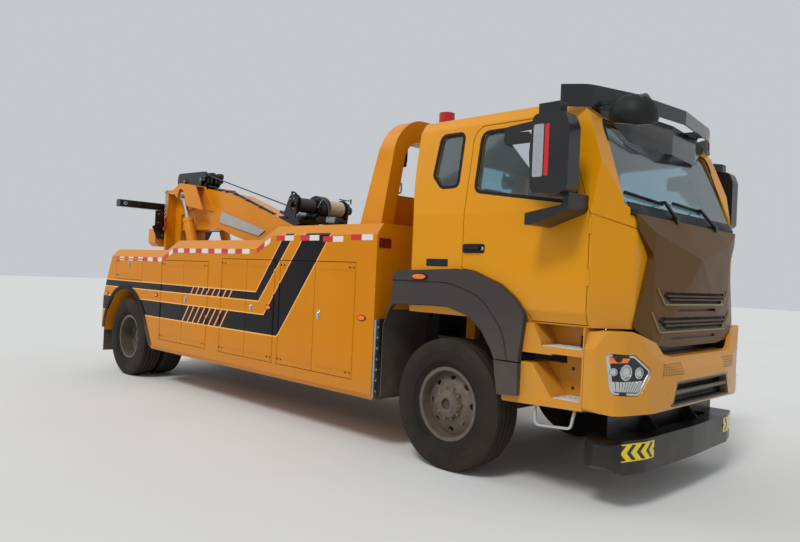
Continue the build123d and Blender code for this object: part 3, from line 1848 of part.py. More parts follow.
crossbar_front = rear_reach_x + crossbar_depth
inner_depth = arm_inner_height / 2
with BuildPart() as underlift_inner:
    half = arm_inner_width / 2
    block(underlift_x - inner_depth, underlift_x + inner_depth, -half, half, inner_arm_low, crossbar_z + 75)
    for side in (-1, 1):
        wing_front = [
            (side * (half - 5), back_plate_low),
            (side * (back_plate_half - 40), back_plate_low),
            (side * back_plate_half, back_plate_low + 60),
            (side * back_plate_half, back_plate_high),
            (side * (half - 5), back_plate_high),
        ]
        along(wing_front, underlift_x - inner_depth, underlift_x + inner_depth - 40)
        hollow = span(side, half + 1, back_plate_half - 60)
        block(
            underlift_x - inner_depth + back_plate_wall,
            underlift_x + inner_depth - 40 - back_plate_wall,
            *hollow,
            back_plate_low + back_plate_wall,
            back_plate_high - back_plate_wall,
            Mode.SUBTRACT,
        )
    disc_x(0, crossbar_z, swivel_radius, rear_reach_x + 10, underlift_x)
save(underlift_inner, "underlift_inner")

socket_radius = 32
socket_y = 860
bar_end_round = 20
with BuildPart() as crossbar:
    bar_low = crossbar_z - crossbar_height / 2
    bar_high = crossbar_z + crossbar_height / 2
    bar_side = [
        (rear_reach_x, bar_low, bar_end_round),
        (rear_reach_x, bar_high, bar_end_round),
        (crossbar_front, bar_high, bar_end_round),
        (crossbar_front, bar_low, bar_end_round),
    ]
    across(bar_side, -crossbar_half, crossbar_half)
    disc_x(0, crossbar_z, swivel_radius + running_gap, rear_reach_x - 1, crossbar_front + 1, Mode.SUBTRACT)
    for side in (-1, 1):
        disc_x(
            side * socket_y,
            crossbar_z,
            socket_radius,
            rear_reach_x - 1,
            crossbar_front + 1,
            Mode.SUBTRACT,
        )
save(crossbar, "crossbar")

# Mud flaps behind the rear wheels, a splash panel on the body's front behind each front
# wheel, and the lip round each rear wheel opening
flap_sheet = 12
splash_sheet = 35
splash_half = 1190
splash_bottom = 460
splash_top = 1160
rear_flap_x = rear_axle_x - 690
rear_flap_bottom = 270
lip_sheet = 12
lip_foot = 500
with BuildPart() as mud_flaps:
    for side in (-1, 1):
        splash = span(side, rail_outer_y + running_gap, splash_half)
        block(body_front + running_gap, body_front + splash_sheet, *splash, splash_bottom, splash_top)
        block(rear_flap_x, rear_flap_x + flap_sheet, *span(side, 600, 1240), rear_flap_bottom, rear_floor_z)
        lip = span(side, half_width + running_gap, half_width + lip_sheet)
        with BuildPart(mode=Mode.PRIVATE) as ring:
            wheel_opening(arch_radius + arch_lip, lip_foot, *lip)
            wheel_opening(arch_radius, lip_foot - 1, *lip, Mode.SUBTRACT)
            lip_reach = arch_radius * 2
            block(rear_axle_x, rear_axle_x + lip_reach, *lip, -lip_reach, lip_foot, Mode.SUBTRACT)
            block(rear_axle_x - lip_reach, rear_axle_x, *lip, -lip_reach, rear_floor_z, Mode.SUBTRACT)
        add(ring.part)
save(mud_flaps, "mud_flaps")
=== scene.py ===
import math

import bmesh
import bpy
from mathutils import Matrix, Vector
from mathutils.bvhtree import BVHTree


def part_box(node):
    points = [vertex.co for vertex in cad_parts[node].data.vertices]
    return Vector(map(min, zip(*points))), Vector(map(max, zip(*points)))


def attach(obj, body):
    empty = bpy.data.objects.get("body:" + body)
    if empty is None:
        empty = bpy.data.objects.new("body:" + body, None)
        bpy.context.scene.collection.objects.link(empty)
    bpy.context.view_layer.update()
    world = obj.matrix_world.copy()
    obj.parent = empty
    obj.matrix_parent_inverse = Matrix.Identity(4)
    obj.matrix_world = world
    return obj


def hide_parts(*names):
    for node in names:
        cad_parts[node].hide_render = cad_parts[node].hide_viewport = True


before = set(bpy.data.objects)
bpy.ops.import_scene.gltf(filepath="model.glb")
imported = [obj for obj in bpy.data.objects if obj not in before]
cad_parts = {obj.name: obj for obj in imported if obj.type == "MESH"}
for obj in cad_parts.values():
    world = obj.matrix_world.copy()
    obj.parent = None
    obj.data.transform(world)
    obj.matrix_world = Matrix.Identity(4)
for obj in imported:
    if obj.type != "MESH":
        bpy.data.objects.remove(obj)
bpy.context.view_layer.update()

# Camera: stands in front of the right front corner at a person's eye height, and leans a
# little, as the photograph does. Stations along the truck count from the front axle.
axle_x = 0.5 * (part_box("front_tyre_left")[0][0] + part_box("front_tyre_left")[1][0])
camera_from_axle = Vector((3.601, -5.358, 1.549))
camera_yaw = math.radians(-44.71)
camera_pitch = math.radians(0.35)
camera_roll = math.radians(2.56)
picture_width = 800
focal_pixels = 687.4
sensor_width = 36.0

forward = Vector((
    math.sin(camera_yaw) * math.cos(camera_pitch),
    math.cos(camera_yaw) * math.cos(camera_pitch),
    math.sin(camera_pitch),
))
level_right = forward.cross(Vector((0, 0, 1))).normalized()
level_up = level_right.cross(forward)
right = math.cos(camera_roll) * level_right + math.sin(camera_roll) * level_up
upright = -math.sin(camera_roll) * level_right + math.cos(camera_roll) * level_up
camera_data = bpy.data.cameras.new("camera")
camera_data.sensor_width = sensor_width
camera_data.lens = focal_pixels / picture_width * sensor_width
camera_data.clip_end = 200
camera = bpy.data.objects.new("camera", camera_data)
bpy.context.collection.objects.link(camera)
camera_place = camera_from_axle + Vector((axle_x, 0, 0))
camera_turn = Matrix((right, upright, -forward)).transposed()
camera.matrix_world = Matrix.Translation(camera_place) @ camera_turn.to_4x4()
bpy.context.scene.camera = camera
bpy.context.scene.view_settings.view_transform = "Standard"


# Floor and studio light: a pale painted floor under a broad soft sky, with one wide lamp
# from above the right side, so that the side and the front both read clearly.
def from_hex(code):
    # An sRGB hex colour as the linear colour that a shader takes
    values = [int(code[i:i + 2], 16) / 255 for i in (1, 3, 5)]
    linear = [v / 12.92 if v <= 0.04045 else ((v + 0.055) / 1.055) ** 2.4 for v in values]
    return (*linear, 1.0)


def add_node(tree, kind, settings=None, inputs=None):
    # Adds a node, sets its properties, and sets or links its inputs by name or place
    node = tree.nodes.new(kind)
    for key, value in (settings or {}).items():
        setattr(node, key, value)
    for key, value in (inputs or {}).items():
        if isinstance(value, bpy.types.NodeSocket):
            tree.links.new(value, node.inputs[key])
        else:
            node.inputs[key].default_value = value
    return node


def finish(
    name,
    code,
    roughness,
    metallic=0.0,
    mottle=0.06,
    patch=0.5,
    grain=0.0,
    grain_size=0.003,
    coat=0.0,
    shine=0.3,
):
    # A procedural finish: broad patches of tone and gloss, and a fine raised grain. The
    # sizes of patch and grain, and the grain's height, are the real ones in metres.
    material = bpy.data.materials.new(name)
    material.use_nodes = True
    tree = material.node_tree
    shader = tree.nodes["Principled BSDF"]
    shader.inputs["Metallic"].default_value = metallic
    shader.inputs["Specular IOR Level"].default_value = shine
    shader.inputs["Coat Weight"].default_value = coat
    shader.inputs["Coat Roughness"].default_value = 0.08
    place = add_node(tree, "ShaderNodeTexCoord").outputs["Object"]
    cloud = add_node(
        tree, "ShaderNodeTexNoise", inputs={"Vector": place, "Scale": 1 / patch, "Detail": 6.0}
    ).outputs["Fac"]
    shade = add_node(
        tree, "ShaderNodeMapRange", inputs={0: cloud, 1: 0.3, 2: 0.7, 3: 1 - mottle, 4: 1 + mottle}
    )
    tone = add_node(
        tree, "ShaderNodeVectorMath", {"operation": "SCALE"},
        {0: from_hex(code)[:3], "Scale": shade.outputs[0]}
    )
    tree.links.new(tone.outputs[0], shader.inputs["Base Color"])
    gloss = add_node(
        tree, "ShaderNodeMapRange",
        inputs={0: cloud, 1: 0.3, 2: 0.7, 3: roughness * 0.8, 4: min(1, roughness * 1.25)}
    )
    tree.links.new(gloss.outputs[0], shader.inputs["Roughness"])
    if grain:
        speckle = add_node(
            tree, "ShaderNodeTexNoise", inputs={"Vector": place, "Scale": 1 / grain_size, "Detail": 2.0}
        )
        bump = add_node(
            tree, "ShaderNodeBump",
            inputs={"Height": speckle.outputs["Fac"], "Distance": grain, "Strength": 0.6}
        )
        tree.links.new(bump.outputs[0], shader.inputs["Normal"])
    return material


def calculate(tree, operation, *values):
    # One step of arithmetic on sockets or numbers in a material
    inputs = {place: value for place, value in enumerate(values)}
    return add_node(tree, "ShaderNodeMath", {"operation": operation}, inputs).outputs[0]


def layer(tree, amount, below, above):
    # Lays a colour over another where amount is 1
    mixed = add_node(tree, "ShaderNodeMix", {"data_type": "RGBA"}, {"Factor": amount})
    for place, colour in ((6, below), (7, above)):
        if isinstance(colour, bpy.types.NodeSocket):
            tree.links.new(colour, mixed.inputs[place])
        else:
            mixed.inputs[place].default_value = colour
    return mixed.outputs[2]


def base_colour(material):
    # The tree, the shader and the socket that feeds its base colour now
    tree = material.node_tree
    shader = tree.nodes["Principled BSDF"]
    return tree, shader, shader.inputs["Base Color"].links[0].from_socket


floor_reach = 60.0
floor_mesh = bpy.data.meshes.new("floor")
floor_corners = [
    (-floor_reach, -floor_reach, 0), (floor_reach, -floor_reach, 0), (floor_reach, floor_reach, 0),
    (-floor_reach, floor_reach, 0)
]
floor_mesh.from_pydata(floor_corners, [], [(0, 1, 2, 3)])
floor = bpy.data.objects.new("floor", floor_mesh)
bpy.context.collection.objects.link(floor)
# Matt pale floor paint, whose faint clouds are a metre or two across
floor_mesh.materials.append(finish("floor_paint", "#D6D6D3", 0.8, mottle=0.015, patch=2.0))
world = bpy.data.worlds.new("studio")
bpy.context.scene.world = world
world.use_nodes = True
world.node_tree.nodes["Background"].inputs["Color"].default_value = from_hex("#EDF1F5")
world.node_tree.nodes["Background"].inputs["Strength"].default_value = 0.66
for lamp_name, energy, spread, tilt in (
    ("key_lamp", 1.6, 14, (38, -14, 32)), ("fill_lamp", 0.35, 40, (55, 0, -60))
):
    lamp_data = bpy.data.lights.new(lamp_name, "SUN")
    lamp_data.energy = energy
    lamp_data.angle = math.radians(spread)
    lamp = bpy.data.objects.new(lamp_name, lamp_data)
    lamp.rotation_euler = [math.radians(value) for value in tilt]
    bpy.context.collection.objects.link(lamp)

# Locker bodies and their doors: welded and pressed steel sheet in orange paint. Two black
# film stripes run forward from the tail and sweep up to the rim, over body and doors
# alike, and road dust has settled on the lowest part.
side_names = ((-1, "right"), (1, "left"))
body_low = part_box("body_right")[0][2]


def dusty(material, low, high, amount, code="#8A7B66"):
    # Road dust, thickest at the low height and gone at the high one
    tree, shader, colour = base_colour(material)
    place = add_node(tree, "ShaderNodeTexCoord").outputs["Object"]
    height = add_node(tree, "ShaderNodeSeparateXYZ", inputs={0: place}).outputs[2]
    fade = add_node(
        tree, "ShaderNodeMapRange", inputs={0: height, 1: low, 2: high, 3: amount, 4: 0.0}
    ).outputs[0]
    streak = add_node(
        tree, "ShaderNodeTexNoise", inputs={"Vector": place, "Scale": 9.0, "Detail": 6.0}
    ).outputs["Fac"]
    cover = calculate(tree, "MULTIPLY", fade, calculate(tree, "MULTIPLY_ADD", streak, 1.6, 0.1))
    tree.links.new(layer(tree, cover, colour, from_hex(code)), shader.inputs["Base Color"])
    return material


def beyond(tree, along_truck, height, start, end):
    # How far a point lies on the right of the line from start to end, in metres
    run = Vector((end[0] - start[0], end[1] - start[1])).normalized()
    across_line = calculate(tree, "MULTIPLY_ADD", along_truck, run.y, -run.y * (axle_x + start[0]))
    up_line = calculate(tree, "MULTIPLY_ADD", height, -run.x, run.x * start[1])
    return calculate(tree, "ADD", across_line, up_line)


def stripe_distance(tree, along_truck, height, low, high, outer, inner):
    # Distance inside a stripe that runs level and then sweeps up: outer is its lower
    # front edge and inner its upper rear edge, each from the bend to the rim
    above_low = calculate(tree, "SUBTRACT", height, low)
    behind_outer = calculate(tree, "MULTIPLY", beyond(tree, along_truck, height, *outer), -1.0)
    below_high = calculate(tree, "SUBTRACT", high, height)
    past_inner = beyond(tree, along_truck, height, *inner)
    either = calculate(tree, "MAXIMUM", below_high, past_inner)
    return calculate(tree, "MINIMUM", calculate(tree, "MINIMUM", above_low, behind_outer), either)


# Two-coat orange truck paint, a little uneven over half a metre, under black film
body_paint = finish("orange_body_paint", "#CB7D05", 0.26, mottle=0.03, patch=0.7, coat=0.03, shine=0.12)
tree, shader, colour = base_colour(body_paint)
place = add_node(tree, "ShaderNodeTexCoord").outputs["Object"]
parted = add_node(tree, "ShaderNodeSeparateXYZ", inputs={0: place})
along_truck, width, height = parted.outputs[0], parted.outputs[1], parted.outputs[2]
on_side = calculate(tree, "GREATER_THAN", calculate(tree, "ABSOLUTE", width), 1.238)
stripes = [
    # low and high edge, outer line, inner line, start and end of the slashes
    (1.215, 1.300, ((-2.545, 1.215), (-1.900, 1.990)), ((-2.600, 1.300), (-2.060, 1.990)), -3.98, -3.13),
    (0.875, 1.070, ((-2.190, 0.875), (-1.350, 1.975)), ((-2.440, 1.070), (-1.735, 1.975)), -4.16, -3.29),
]
slash_count = 8
slash_lean = 0.75
for low, high, outer, inner, slash_start, slash_end in stripes:
    inside = stripe_distance(tree, along_truck, height, low, high, outer, inner)
    halo = calculate(tree, "MULTIPLY", calculate(tree, "GREATER_THAN", inside, -0.012), on_side)
    film = calculate(tree, "MULTIPLY", calculate(tree, "GREATER_THAN", inside, 0.0), on_side)
    shifted = calculate(
        tree, "MULTIPLY_ADD", height, -slash_lean, slash_lean * low - axle_x - slash_start
    )
    count = calculate(
        tree, "MULTIPLY", calculate(tree, "ADD", along_truck, shifted),
        (slash_count - 1) / (slash_end - slash_start)
    )
    in_run = calculate(
        tree, "MULTIPLY", calculate(tree, "GREATER_THAN", count, -0.1),
        calculate(tree, "LESS_THAN", count, slash_count - 0.7)
    )
    line = calculate(tree, "LESS_THAN", calculate(tree, "FRACT", calculate(tree, "ADD", count, 0.1)), 0.2)
    slash = calculate(tree, "MULTIPLY", calculate(tree, "MULTIPLY", line, in_run), film)
    colour = layer(tree, halo, colour, from_hex("#F6B568"))
    colour = layer(tree, film, colour, from_hex("#191517"))
    colour = layer(tree, calculate(tree, "MULTIPLY", in_run, film), colour, from_hex("#2E1519"))
    colour = layer(tree, slash, colour, from_hex("#E9A868"))
tree.links.new(colour, shader.inputs["Base Color"])
dusty(body_paint, body_low, body_low + 0.45, 0.18)


def paint_node(material, *names):
    # Gives CAD nodes their material
    for node_name in names:
        node = bpy.data.objects[node_name]
        if node.material_slots:
            for material_slot in node.material_slots:
                material_slot.material = material
        else:
            node.data.materials.append(material)


locker_leaves = []
for _, word in side_names:
    for place_name in ("front", "middle", "rear"):
        locker_leaves += ["locker_" + place_name + "_" + leaf + "_" + word for leaf in ("a", "b")]
    locker_leaves.append("locker_upper_" + word)
paint_node(body_paint, "body_right", "body_left", *locker_leaves)


# Reflective tape: red and white prismatic film in short lengths, stuck just below the
# rim all along both sides, over its slopes too, and four longer pairs at the front.
def add_piece(name, form, material, body, bevel=0.0, smooth=False):
    # Makes an object of a filled bmesh, with its faces turned out, riding on a body
    bmesh.ops.remove_doubles(form, verts=form.verts, dist=1e-6)
    bmesh.ops.recalc_face_normals(form, faces=form.faces)
    if bevel:
        sharp = [
            edge for edge in form.edges if len(edge.link_faces) == 2 and edge.calc_face_angle() > 0.5
        ]
        bmesh.ops.bevel(form, geom=sharp, offset=bevel, segments=2, affect="EDGES", clamp_overlap=True)
    mesh = bpy.data.meshes.new(name)
    form.to_mesh(mesh)
    form.free()
    if smooth:
        mesh.shade_smooth()
        mesh.set_sharp_from_angle(angle=math.radians(smooth))
    mesh.materials.append(material)
    piece = bpy.data.objects.new(name, mesh)
    bpy.context.collection.objects.link(piece)
    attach(piece, body)
    return piece


def join_rings(form, rings, around=False):
    # Adds the walls between rings of vertices, and from the last to the first if around
    following = rings[1:] + rings[:1] if around else rings[1:]
    for one, other in zip(rings, following):
        for place in range(len(one)):
            after = (place + 1) % len(one)
            form.faces.new((one[place], one[after], other[after], other[place]))


def cap_rings(form, rings):
    # Closes the two ends of a row of rings
    form.faces.new(rings[0])
    form.faces.new(reversed(rings[-1]))


def prism(form, corners, axis, low, high):
    # Adds a closed prism: its outline in the two other axes, from low to high on axis
    others = [i for i in range(3) if i != axis]
    rings = []
    for level in (low, high):
        ring = []
        for corner in corners:
            place = [0.0, 0.0, 0.0]
            place[axis] = level
            place[others[0]] = corner[0]
            place[others[1]] = corner[1]
            ring.append(form.verts.new(place))
        rings.append(ring)
    form.faces.new(rings[0])
    form.faces.new(reversed(rings[1]))
    for i in range(len(corners)):
        j = (i + 1) % len(corners)
        form.faces.new((rings[0][i], rings[1][i], rings[1][j], rings[0][j]))


def box(form, low, high):
    prism(
        form, [(low[0], low[1]), (high[0], low[1]), (high[0], high[1]), (low[0], high[1])], 2, low[2],
        high[2]
    )


def side_box(form, side, low, high):
    # A box on one side of the truck, given by its corners on the left
    y_near, y_far = sorted((side * low[1], side * high[1]))
    box(form, (low[0], y_near, low[2]), (high[0], y_far, high[2]))


tape_height = 0.052
tape_sheet = 0.0008
tape_below_rim = 0.128
red_length = 0.125
white_length = 0.150
tape_pitch = 0.289
side_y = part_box("locker_middle_a_left")[1][1] - 0.009
rim_runs = [
    # start and end with the height of the rim there, and how many pairs lie between them
    ((-6.160, 1.74), (-4.757, 1.74), 5),
    ((-4.472, 1.86), (-2.650, 1.86), 6),
]
slope_runs = [((-4.735, 1.747), (-4.590, 1.806)), ((-4.575, 1.812), (-4.475, 1.853))]
front_slope_runs = [((-2.613, 1.868), (-2.490, 1.926)), ((-2.471, 1.935), (-2.369, 1.983))]
front_pairs = [(-2.266, 1.972), (-1.862, 1.972), (-1.510, 1.858), (-1.110, 1.884)]
front_pair_half = 0.147
# Prismatic reflective film, with faint cells under its clear face
tape_red = finish(
    "red_reflective_film", "#C4141F", 0.25, mottle=0.05, patch=0.02, grain=0.0003, grain_size=0.004,
    coat=0.6
)
tape_white = finish(
    "white_reflective_film", "#DAD6D2", 0.25, mottle=0.05, patch=0.02, grain=0.0003, grain_size=0.004,
    coat=0.6
)


def tape_length(form, side, start, end):
    # One length of tape between two points of its middle line along the side
    half = tape_height / 2
    near = side * (side_y + 0.0003)
    far = side * (side_y + 0.0003 + tape_sheet)
    corners = [
        (axle_x + start[0], start[1] - half),
        (axle_x + end[0], end[1] - half),
        (axle_x + end[0], end[1] + half),
        (axle_x + start[0], start[1] + half),
    ]
    prism(form, corners, 1, near, far)


for side, word in side_names:
    red_form = bmesh.new()
    white_form = bmesh.new()
    for start, end, count in rim_runs:
        for step in range(count):
            red_start = start[0] + step * tape_pitch
            red_end = red_start + red_length
            white_end = min(red_end + white_length, end[0])
            level = start[1] - tape_below_rim
            tape_length(red_form, side, (red_start, level), (red_end, level))
            tape_length(white_form, side, (red_end + 0.006, level), (white_end, level))
    for pair in (slope_runs, front_slope_runs):
        for form, (start, end) in zip((red_form, white_form), pair):
            tape_length(
                form, side, (start[0], start[1] - tape_below_rim), (end[0], end[1] - tape_below_rim)
            )
    for station, level in front_pairs:
        level = min(level, 2.0 - tape_below_rim)
        tape_length(red_form, side, (station, level), (station + front_pair_half, level))
        tape_length(
            white_form, side, (station + front_pair_half, level), (station + front_pair_half * 2, level)
        )
    add_piece("tape_red_" + word, red_form, tape_red, "chassis")
    add_piece("tape_white_" + word, white_form, tape_white, "chassis")


# Latches: chromed paddle latches in oval dishes, one for each pair of doors and one for
# the upper flap, with small round hinge caps at each door's outer corners.
def turned(form, profile, centre, direction, steps=16):
    # Adds a closed solid of revolution: (distance along its direction, radius) points
    turn = Vector(direction).to_track_quat("Z", "Y")
    rings = []
    for level, radius in profile:
        ring = []
        for step in range(steps):
            angle = 2 * math.pi * step / steps
            offset = turn @ Vector((radius * math.cos(angle), radius * math.sin(angle), level))
            ring.append(form.verts.new(Vector(centre) + offset))
        rings.append(ring)
    join_rings(form, rings)
    cap_rings(form, rings)


def rod(form, start, end, radius, steps=12):
    # Adds a closed round rod between two points
    run = Vector(end) - Vector(start)
    turned(form, [(0, radius), (run.length, radius)], start, run, steps)


def oval(centre_a, centre_b, half_a, half_b, steps=20):
    # An oval outline in two axes
    angles = [2 * math.pi * step / steps for step in range(steps)]
    return [
        (centre_a + half_a * math.cos(angle), centre_b + half_b * math.sin(angle)) for angle in angles
    ]


latch_half_width = 0.028
latch_half_height = 0.045
latch_places = [
    # station, height, the leaf that carries it
    (-5.715, 1.540, "locker_upper"),
    (-4.212, 1.134, "locker_rear_b"),
    (-2.680, 1.130, "locker_middle_b"),
    (-1.560, 1.140, "locker_front_b"),
]
# Polished chrome plate, with a few wiping marks
latch_chrome = finish(
    "latch_chrome", "#C9CBCE", 0.12, metallic=1.0, mottle=0.04, patch=0.05, grain=0.00005,
    grain_size=0.002
)
# Black moulded plastic with a fine spark texture
black_plastic = finish(
    "black_moulded_plastic", "#17181A", 0.5, mottle=0.12, patch=0.3, grain=0.0002, grain_size=0.0015
)
for side, word in side_names:
    for station, level, leaf in latch_places:
        leaf_body = leaf + "_" + word
        leaf_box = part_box(leaf_body)
        station = min(max(axle_x + station, leaf_box[0][0] + 0.07), leaf_box[1][0] - 0.07)
        dish = bmesh.new()
        face = side * side_y
        prism(
            dish, oval(station, level, latch_half_width, latch_half_height), 1, face, face + side * 0.004
        )
        add_piece(
            "latch_dish_" + leaf_body, dish, latch_chrome, leaf_body, bevel=0.0015, smooth=40
        )
        paddle = bmesh.new()
        corners = oval(station, level - 0.004, latch_half_width * 0.55, latch_half_height * 0.72)
        prism(paddle, corners, 1, face + side * 0.003, face + side * 0.011)
        add_piece(
            "latch_paddle_" + leaf_body, paddle, latch_chrome, leaf_body, bevel=0.003,
            smooth=40
        )
    for leaf in [name for name in locker_leaves if name.endswith(word)]:
        leaf_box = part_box(leaf)
        hinged_rear = "_a_" in leaf or "upper" in leaf
        caps = bmesh.new()
        for level in (leaf_box[0][2] + 0.05, leaf_box[1][2] - 0.045):
            for inset in (0.028, 0.085):
                station = leaf_box[0][0] + inset if hinged_rear else leaf_box[1][0] - inset
                face = side * (side_y - 0.001)
                profile = [(0, 0.011), (0.004, 0.010), (0.006, 0.006)]
                turned(caps, profile, (station, face, level), (0, side, 0), 14)
        add_piece("hinge_caps_" + leaf, caps, black_plastic, leaf, smooth=40)

# Side marker lamps: small orange lenses in black bezels, screwed to the body's sides, and
# the red tail lamps, which stand in upright black housings on the body's rear faces.
# Moulded clear lens plastic over a prism pattern, in orange and in red
orange_lens = finish(
    "orange_lens", "#E8700A", 0.15, mottle=0.1, patch=0.02, grain=0.0006, grain_size=0.006, coat=0.8
)
red_lens = finish(
    "red_lens", "#B3120C", 0.15, mottle=0.1, patch=0.03, grain=0.0006, grain_size=0.006, coat=0.8
)
marker_stations = [(-2.364, 1.156), (-0.919, 1.156), (-4.88, 1.156), (-6.415, 1.10)]
marker_half = 0.05
body_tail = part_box("body_right")[0][0]
for side, word in side_names:
    bezels = bmesh.new()
    lenses = bmesh.new()
    for station, level in marker_stations:
        place = axle_x + station
        prism(
            bezels, oval(place, level, marker_half + 0.008, 0.026), 1, side * side_y,
            side * (side_y + 0.006)
        )
        prism(
            lenses, oval(place, level, marker_half, 0.02), 1, side * (side_y + 0.005),
            side * (side_y + 0.010)
        )
    add_piece(
        "marker_bezels_" + word, bezels, black_plastic, "chassis", bevel=0.001,
        smooth=40
    )
    add_piece(
        "marker_lenses_" + word, lenses, orange_lens, "chassis", bevel=0.002, smooth=40
    )
    housings = bmesh.new()
    tail_lenses = bmesh.new()
    face = body_tail + 0.004
    for low, high in ((0.66, 0.80), (0.81, 0.95), (0.96, 1.04)):
        side_box(housings, side, (face - 0.002, 1.02, low), (face + 0.02, 1.18, high))
        side_box(tail_lenses, side, (body_tail, 1.03, low + 0.01), (face, 1.17, high - 0.01))
    add_piece(
        "tail_housings_" + word, housings, black_plastic, "chassis", bevel=0.004,
        smooth=40
    )
    add_piece(
        "tail_lenses_" + word, tail_lenses, red_lens, "chassis", bevel=0.0015, smooth=40
    )

# Splash panels, mud flaps and arch lips: moulded rubber. A bright sheet with bolt heads
# backs the front splash panel, beside a small bare dark red plate on the body's face.
# Weathered black rubber with a dusty bloom
rubber = finish(
    "weathered_rubber", "#1B1B1C", 0.85, mottle=0.2, patch=0.25, grain=0.0004, grain_size=0.004
)
dusty(rubber, 0.3, 0.9, 0.5)
paint_node(rubber, "mud_flaps")
# Bright rolled sheet, dulled by spray
splash_steel = finish(
    "bright_splash_sheet", "#A9ACAE", 0.38, metallic=0.9, mottle=0.12, patch=0.12, grain=0.0002,
    grain_size=0.006
)
dusty(splash_steel, 0.4, 1.0, 0.4)
plate_red = finish("dark_red_plate", "#6E1412", 0.4, mottle=0.08, patch=0.05, coat=0.3)
body_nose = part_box("body_right")[1][0]
for side, word in side_names:
    sheet_form = bmesh.new()
    side_box(sheet_form, side, (body_nose + 0.002, 1.195, 0.47), (body_nose + 0.03, 1.246, 1.15))
    add_piece("splash_sheet_" + word, sheet_form, splash_steel, "chassis", bevel=0.003)
    bolts = bmesh.new()
    for step in range(7):
        level = 0.53 + step * 0.093
        turned(
            bolts, [(0, 0.012), (0.006, 0.012), (0.009, 0.008)], (body_nose + 0.03, side * 1.22, level),
            (1, 0, 0), 6
        )
    add_piece("splash_bolts_" + word, bolts, splash_steel, "chassis", smooth=30)
    plate = bmesh.new()
    side_box(plate, side, (body_nose + 0.0005, 1.080, 1.782), (body_nose + 0.003, 1.228, 1.868))
    add_piece("bare_plate_" + word, plate, plate_red, "chassis", bevel=0.0008)

# Tyres: steel-belted truck tyres, moulded in black rubber, each with five ribs round the
# tread, cut by fine cross cuts, and plain raised rings on the sidewalls.
tyre_radius = 0.5 * (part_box("front_tyre_right")[1][2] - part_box("front_tyre_right")[0][2])
tyre_half = 0.146
tyre_steps = 64
groove_places = [-0.078, -0.027, 0.027, 0.078]
groove_half = 0.007
groove_depth = 0.014
# Black tyre rubber, browned by dust in its texture, with cross cuts every 28 mm drawn as near-black lines
# of painted shade
tyre_rubber = finish(
    "tyre_rubber", "#17130F", 0.85, mottle=0.18, patch=0.2, grain=0.0003, grain_size=0.004
)


def tyre_material(centre_x):
    # The rubber of a wheel at a station, with painted shade in its cross cuts, spaced round the axle line
    material = tyre_rubber.copy()
    tree, shader, colour = base_colour(material)
    place = add_node(tree, "ShaderNodeTexCoord").outputs["Object"]
    parted = add_node(tree, "ShaderNodeSeparateXYZ", inputs={0: place})
    away = calculate(tree, "SUBTRACT", parted.outputs[0], centre_x)
    up = calculate(tree, "SUBTRACT", parted.outputs[2], tyre_radius)
    angle = calculate(tree, "ARCTAN2", up, away)
    skew = calculate(tree, "MULTIPLY", parted.outputs[1], 2.0)
    turn_count = calculate(
        tree, "ADD", calculate(tree, "MULTIPLY", angle, 118 / (2 * math.pi)),
        calculate(tree, "MULTIPLY", skew, 10.0)
    )
    cut = calculate(tree, "LESS_THAN", calculate(tree, "FRACT", turn_count), 0.16)
    reach = calculate(
        tree, "SQRT",
        calculate(
            tree, "ADD", calculate(tree, "MULTIPLY", away, away), calculate(tree, "MULTIPLY", up, up)
        )
    )
    on_tread = calculate(tree, "GREATER_THAN", reach, tyre_radius - 0.012)
    cut_shade = calculate(tree, "MULTIPLY", cut, on_tread)
    worn = calculate(tree, "MULTIPLY", on_tread, 0.25)
    colour = layer(tree, worn, colour, from_hex("#40362D"))
    # The cross cuts are painted near black on the tread: painted shade in cuts that the mesh does not
    # have
    colour = layer(tree, calculate(tree, "MULTIPLY", cut_shade, 0.8), colour, from_hex("#0B0B0B"))
    side_dust = add_node(
        tree, "ShaderNodeMapRange", inputs={0: reach, 1: 0.30, 2: 0.50, 3: 0.05, 4: 0.34}
    ).outputs[0]
    noise = add_node(
        tree, "ShaderNodeTexNoise", inputs={"Vector": place, "Scale": 7.0, "Detail": 5.0}
    ).outputs["Fac"]
    colour = layer(tree, calculate(tree, "MULTIPLY", side_dust, noise), colour, from_hex("#5A4B3B"))
    tree.links.new(colour, shader.inputs["Base Color"])
    return material


def tyre_profile():
    # Half-section of a tyre as (across, radius) points, from bead to bead
    bead = 0.2925
    rise = [
        (-0.084, bead), (-0.112, bead + 0.010), (-0.128, bead + 0.040), (-0.131, bead + 0.046),
        (-0.1345, bead + 0.046)
    ]
    rise += [
        (-0.1375, bead + 0.054), (-0.1440, bead + 0.110), (-0.1445, bead + 0.130),
        (-0.1460, bead + 0.132)
    ]
    rise += [
        (-0.1455, bead + 0.148), (-0.1400, tyre_radius - 0.055), (-0.1360, tyre_radius - 0.022),
        (-0.124, tyre_radius - 0.006)
    ]
    tread = []
    for middle in groove_places:
        crown = tyre_radius - 0.004 * (abs(middle) / 0.12) ** 2
        tread += [(middle - groove_half, crown), (middle - groove_half * 0.6, crown - groove_depth)]
        tread += [(middle + groove_half * 0.6, crown - groove_depth), (middle + groove_half, crown)]
    return rise + tread + [(-across, radius) for across, radius in reversed(rise)]


def tyre_ring(form, centre_x, centre_y):
    # Adds one tyre, closed at the beads by its inner face
    profile = tyre_profile()
    rings = []
    for across, radius in profile:
        ring = []
        for step in range(tyre_steps):
            angle = 2 * math.pi * step / tyre_steps
            place = (
                centre_x + radius * math.cos(angle), centre_y + across,
                tyre_radius + radius * math.sin(angle)
            )
            ring.append(form.verts.new(place))
        rings.append(ring)
    join_rings(form, rings, around=True)


